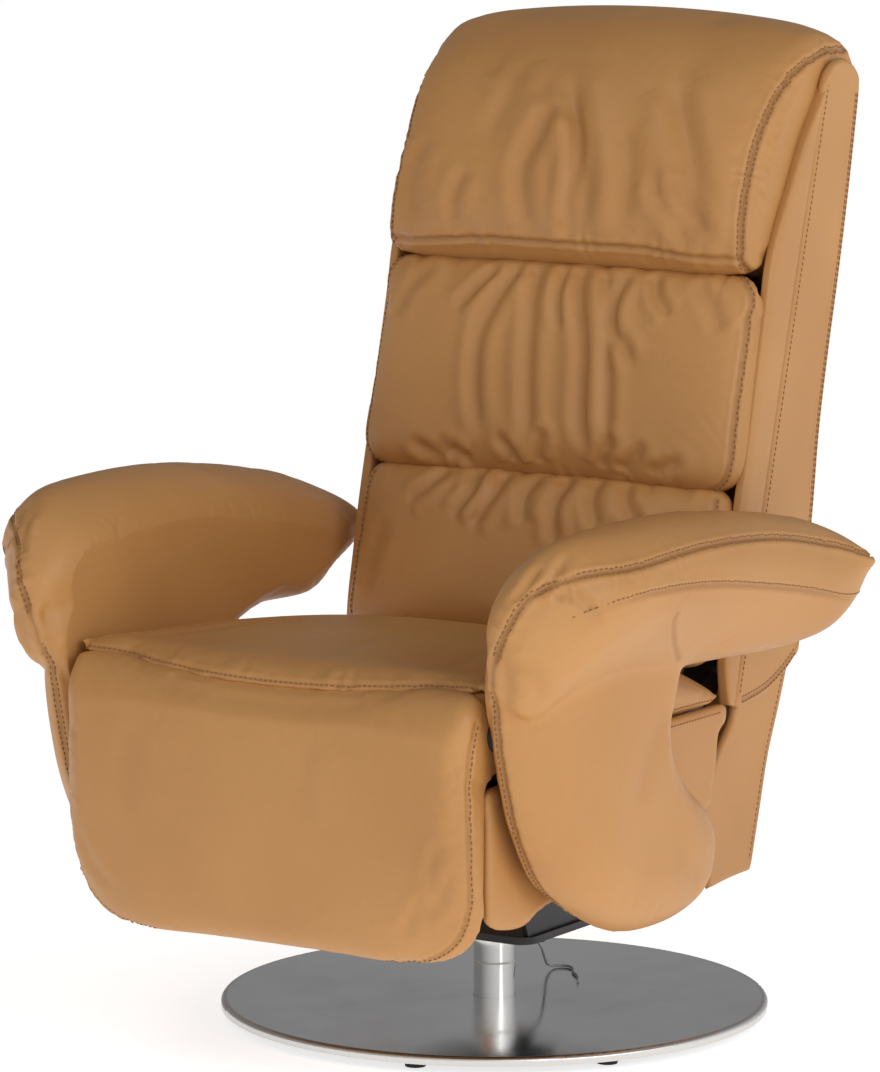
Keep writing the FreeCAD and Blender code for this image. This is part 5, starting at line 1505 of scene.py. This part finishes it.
class RECLINER_OT_shell(bpy.types.Operator):
    """Leather shell round the sides and rear of the back, and the skirt that hangs below it"""

    bl_idname = "recliner.shell"
    bl_label = "Shell and skirt"

    def execute(self, context):
        top_u, top_w = zip(*WING_TOP)
        low_u, low_w = zip(*WING_LOW)
        shell = wrapped_panel(
            "back_shell", lambda w: -1 + 0 * w, shell_depth,
            lambda u: smooth_table(np.clip(u, -137, -1), low_u, low_w),
            lambda u: smooth_table(np.clip(u, -91, -1), top_u, top_w),
            (85.0, 700.0), SHELL_HALF, SHELL_CORNER, SHELL_T, 170, 5.0,
        )
        threads = []
        for sign in (-1, 1):
            line = on_back(shell, [
                (sign * SHELL_HALF, -8.0, w) for w in np.linspace(20, 690, 18)
            ], 260)
            threads.append(stitches(shell, line, rows=(0,)))
            corner = on_back(shell, [
                (sign * 246, shell_depth(w) + 15, w) for w in np.linspace(92, 700, 16)
            ], 260)
            pressed(shell, corner, 1.6, 3.2, 0.4, (1, 1), 0.6)
            threads.append(stitches(shell, corner))
            hem = on_back(shell, [
                (sign * SHELL_HALF, u, w + 10) for w, u in
                ((5, -14), (12, -32), (26, -61), (42, -84), (60, -104), (73, -116))
            ], 80)
            pressed(shell, hem, 1.3, 3.0, 0.35, (1, 1), 0.5)
            threads.append(stitches(shell, hem))
        covered(
            shell, "back_wing_left", "back_wing_right", "back_rear_panel", "head_wing_left",
            "head_wing_right", "head_rear_panel", fill=0.5,
        )
        thread = thread_object("shell_thread", threads)
        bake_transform(shell)
        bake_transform(thread)

        left = back_border("back_border_left")
        right = mirrored(left, "back_border_right")
        for border in (left, right):
            smooth_shaded(border).data.materials.append(finish("tan_leather"))
            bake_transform(border)
        cover = buttoned(
            "pad_cover", rounded_box(233.0, 77, 448, 14, 300), (0.0, 262.0),
            lambda x, w: 0.6 + 0 * w, lambda x, w: -13.2 + 0 * w, lambda x, w: -6 + 0 * w, 30,
            lambda a, b, h: leaned(a, h, b),
        )
        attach(covered(cover, "back_pad", fill=0.6), "backrest")

        rear_w, rear_u = zip(*SKIRT_REAR)
        front_w, front_u = zip(*SKIRT_FRONT)
        skirt = wrapped_panel(
            "skirt", lambda w: smooth_table(w, front_w, front_u),
            lambda w: smooth_table(w, rear_w, rear_u),
            lambda u: -162.0 - 0.27 * (u + 118), lambda u: 82.0 + 0 * u,
            (-162.0, 80.0), 235.5, 14.0, 10.0, 80, 3.0,
        )
        threads = []
        for sign in (-1, 1):
            corner = on_back(skirt, [
                (sign * 235, smooth_table(w, rear_w, rear_u) + 13, w)
                for w in np.linspace(-150, 70, 10)
            ], 100)
            pressed(skirt, corner, 1.5, 3.0, 0.35, (1, 1), 0.5)
            threads.append(stitches(skirt, corner, rows=(-1,)))
        covered(skirt, "skirt_rear", "skirt_side_left", "skirt_side_right", fill=0.4)
        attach(skirt, "backrest")
        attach(thread_object("skirt_thread", threads), "backrest")
        return {"FINISHED"}


# Finishes of the carried-over solids

NODE_FINISH = {
    "base_cover": "disc_steel", "base_weight_plate": "ballast_iron", "base_feet": "black_rubber",
    "column_post": "polished_steel", "post_bolts": "zinc_steel",
    "column_bushes": "bearing_plastic", "thrust_washer": "bearing_plastic",
    "swivel_spindle": "zinc_steel", "spindle_clip": "zinc_steel",
    "column_collar": "polished_steel", "swivel_plate": "black_steel",
    "support_tower": "black_steel", "seat_cross_members": "black_steel",
    "seat_rail_left": "black_steel", "seat_rail_right": "black_steel",
    "seat_webbing": "webbing", "side_plate_left": "black_steel",
    "side_plate_right": "black_steel", "side_bolts": "zinc_steel",
    "recline_bracket_left": "black_steel", "recline_bracket_right": "black_steel",
    "pivot_pins": "zinc_steel", "foot_motor": "black_plastic", "back_motor": "black_plastic",
    "lead_housings": "black_plastic", "lead_plug": "polished_steel",
    "footrest_board": "plywood", "footrest_hinge_tube": "zinc_steel",
    "footrest_lever": "zinc_steel", "foot_rod": "polished_steel", "back_rod": "polished_steel",
    "back_post_left": "black_steel", "back_post_right": "black_steel",
    "back_hinge_plates": "black_steel", "back_hinge_tube": "zinc_steel",
    "back_cross_tubes": "black_steel", "back_webbing": "webbing",
    "head_hinge_lower": "black_steel", "head_board": "plywood",
    "head_hinge_upper": "black_steel",
}


class RECLINER_OT_frame(bpy.types.Operator):
    """Finishes of the base, the frame and the mechanism"""

    bl_idname = "recliner.frame"
    bl_label = "Frame finishes"

    def execute(self, context):
        for name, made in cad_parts.items():
            kind = NODE_FINISH.get(name, "tan_leather")
            made.data.materials.clear()
            made.data.materials.append(finish(kind))
        return {"FINISHED"}


class RECLINER_PT_panel(bpy.types.Panel):
    """Sidebar panel that lists the steps and what can be changed"""

    bl_idname = "RECLINER_PT_panel"
    bl_label = "Swivel recliner"
    bl_space_type = "VIEW_3D"
    bl_region_type = "UI"
    bl_category = "Recliner"

    def draw(self, context):
        layout = self.layout
        for group in (context.scene.recliner_leather, context.scene.recliner_stage):
            for name in group.__annotations__:
                layout.prop(group, name)
        for step in STEPS:
            layout.operator(step.bl_idname)


STEPS = (
    RECLINER_OT_stage, RECLINER_OT_lead, RECLINER_OT_frame, RECLINER_OT_seat,
    RECLINER_OT_cheeks, RECLINER_OT_arms, RECLINER_OT_cushions, RECLINER_OT_head,
    RECLINER_OT_shell,
)
CLASSES = (RECLINER_PG_leather, RECLINER_PG_stage, *STEPS, RECLINER_PT_panel)


def register():
    for kind in CLASSES:
        bpy.utils.register_class(kind)
    bpy.types.Scene.recliner_leather = bpy.props.PointerProperty(type=RECLINER_PG_leather)
    bpy.types.Scene.recliner_stage = bpy.props.PointerProperty(type=RECLINER_PG_stage)


def unregister():
    del bpy.types.Scene.recliner_leather
    del bpy.types.Scene.recliner_stage
    for kind in reversed(CLASSES):
        bpy.utils.unregister_class(kind)


def main():
    register()
    for step in STEPS:
        group, name = step.bl_idname.split(".")
        getattr(getattr(bpy.ops, group), name)()


if __name__ == "__main__":
    main()
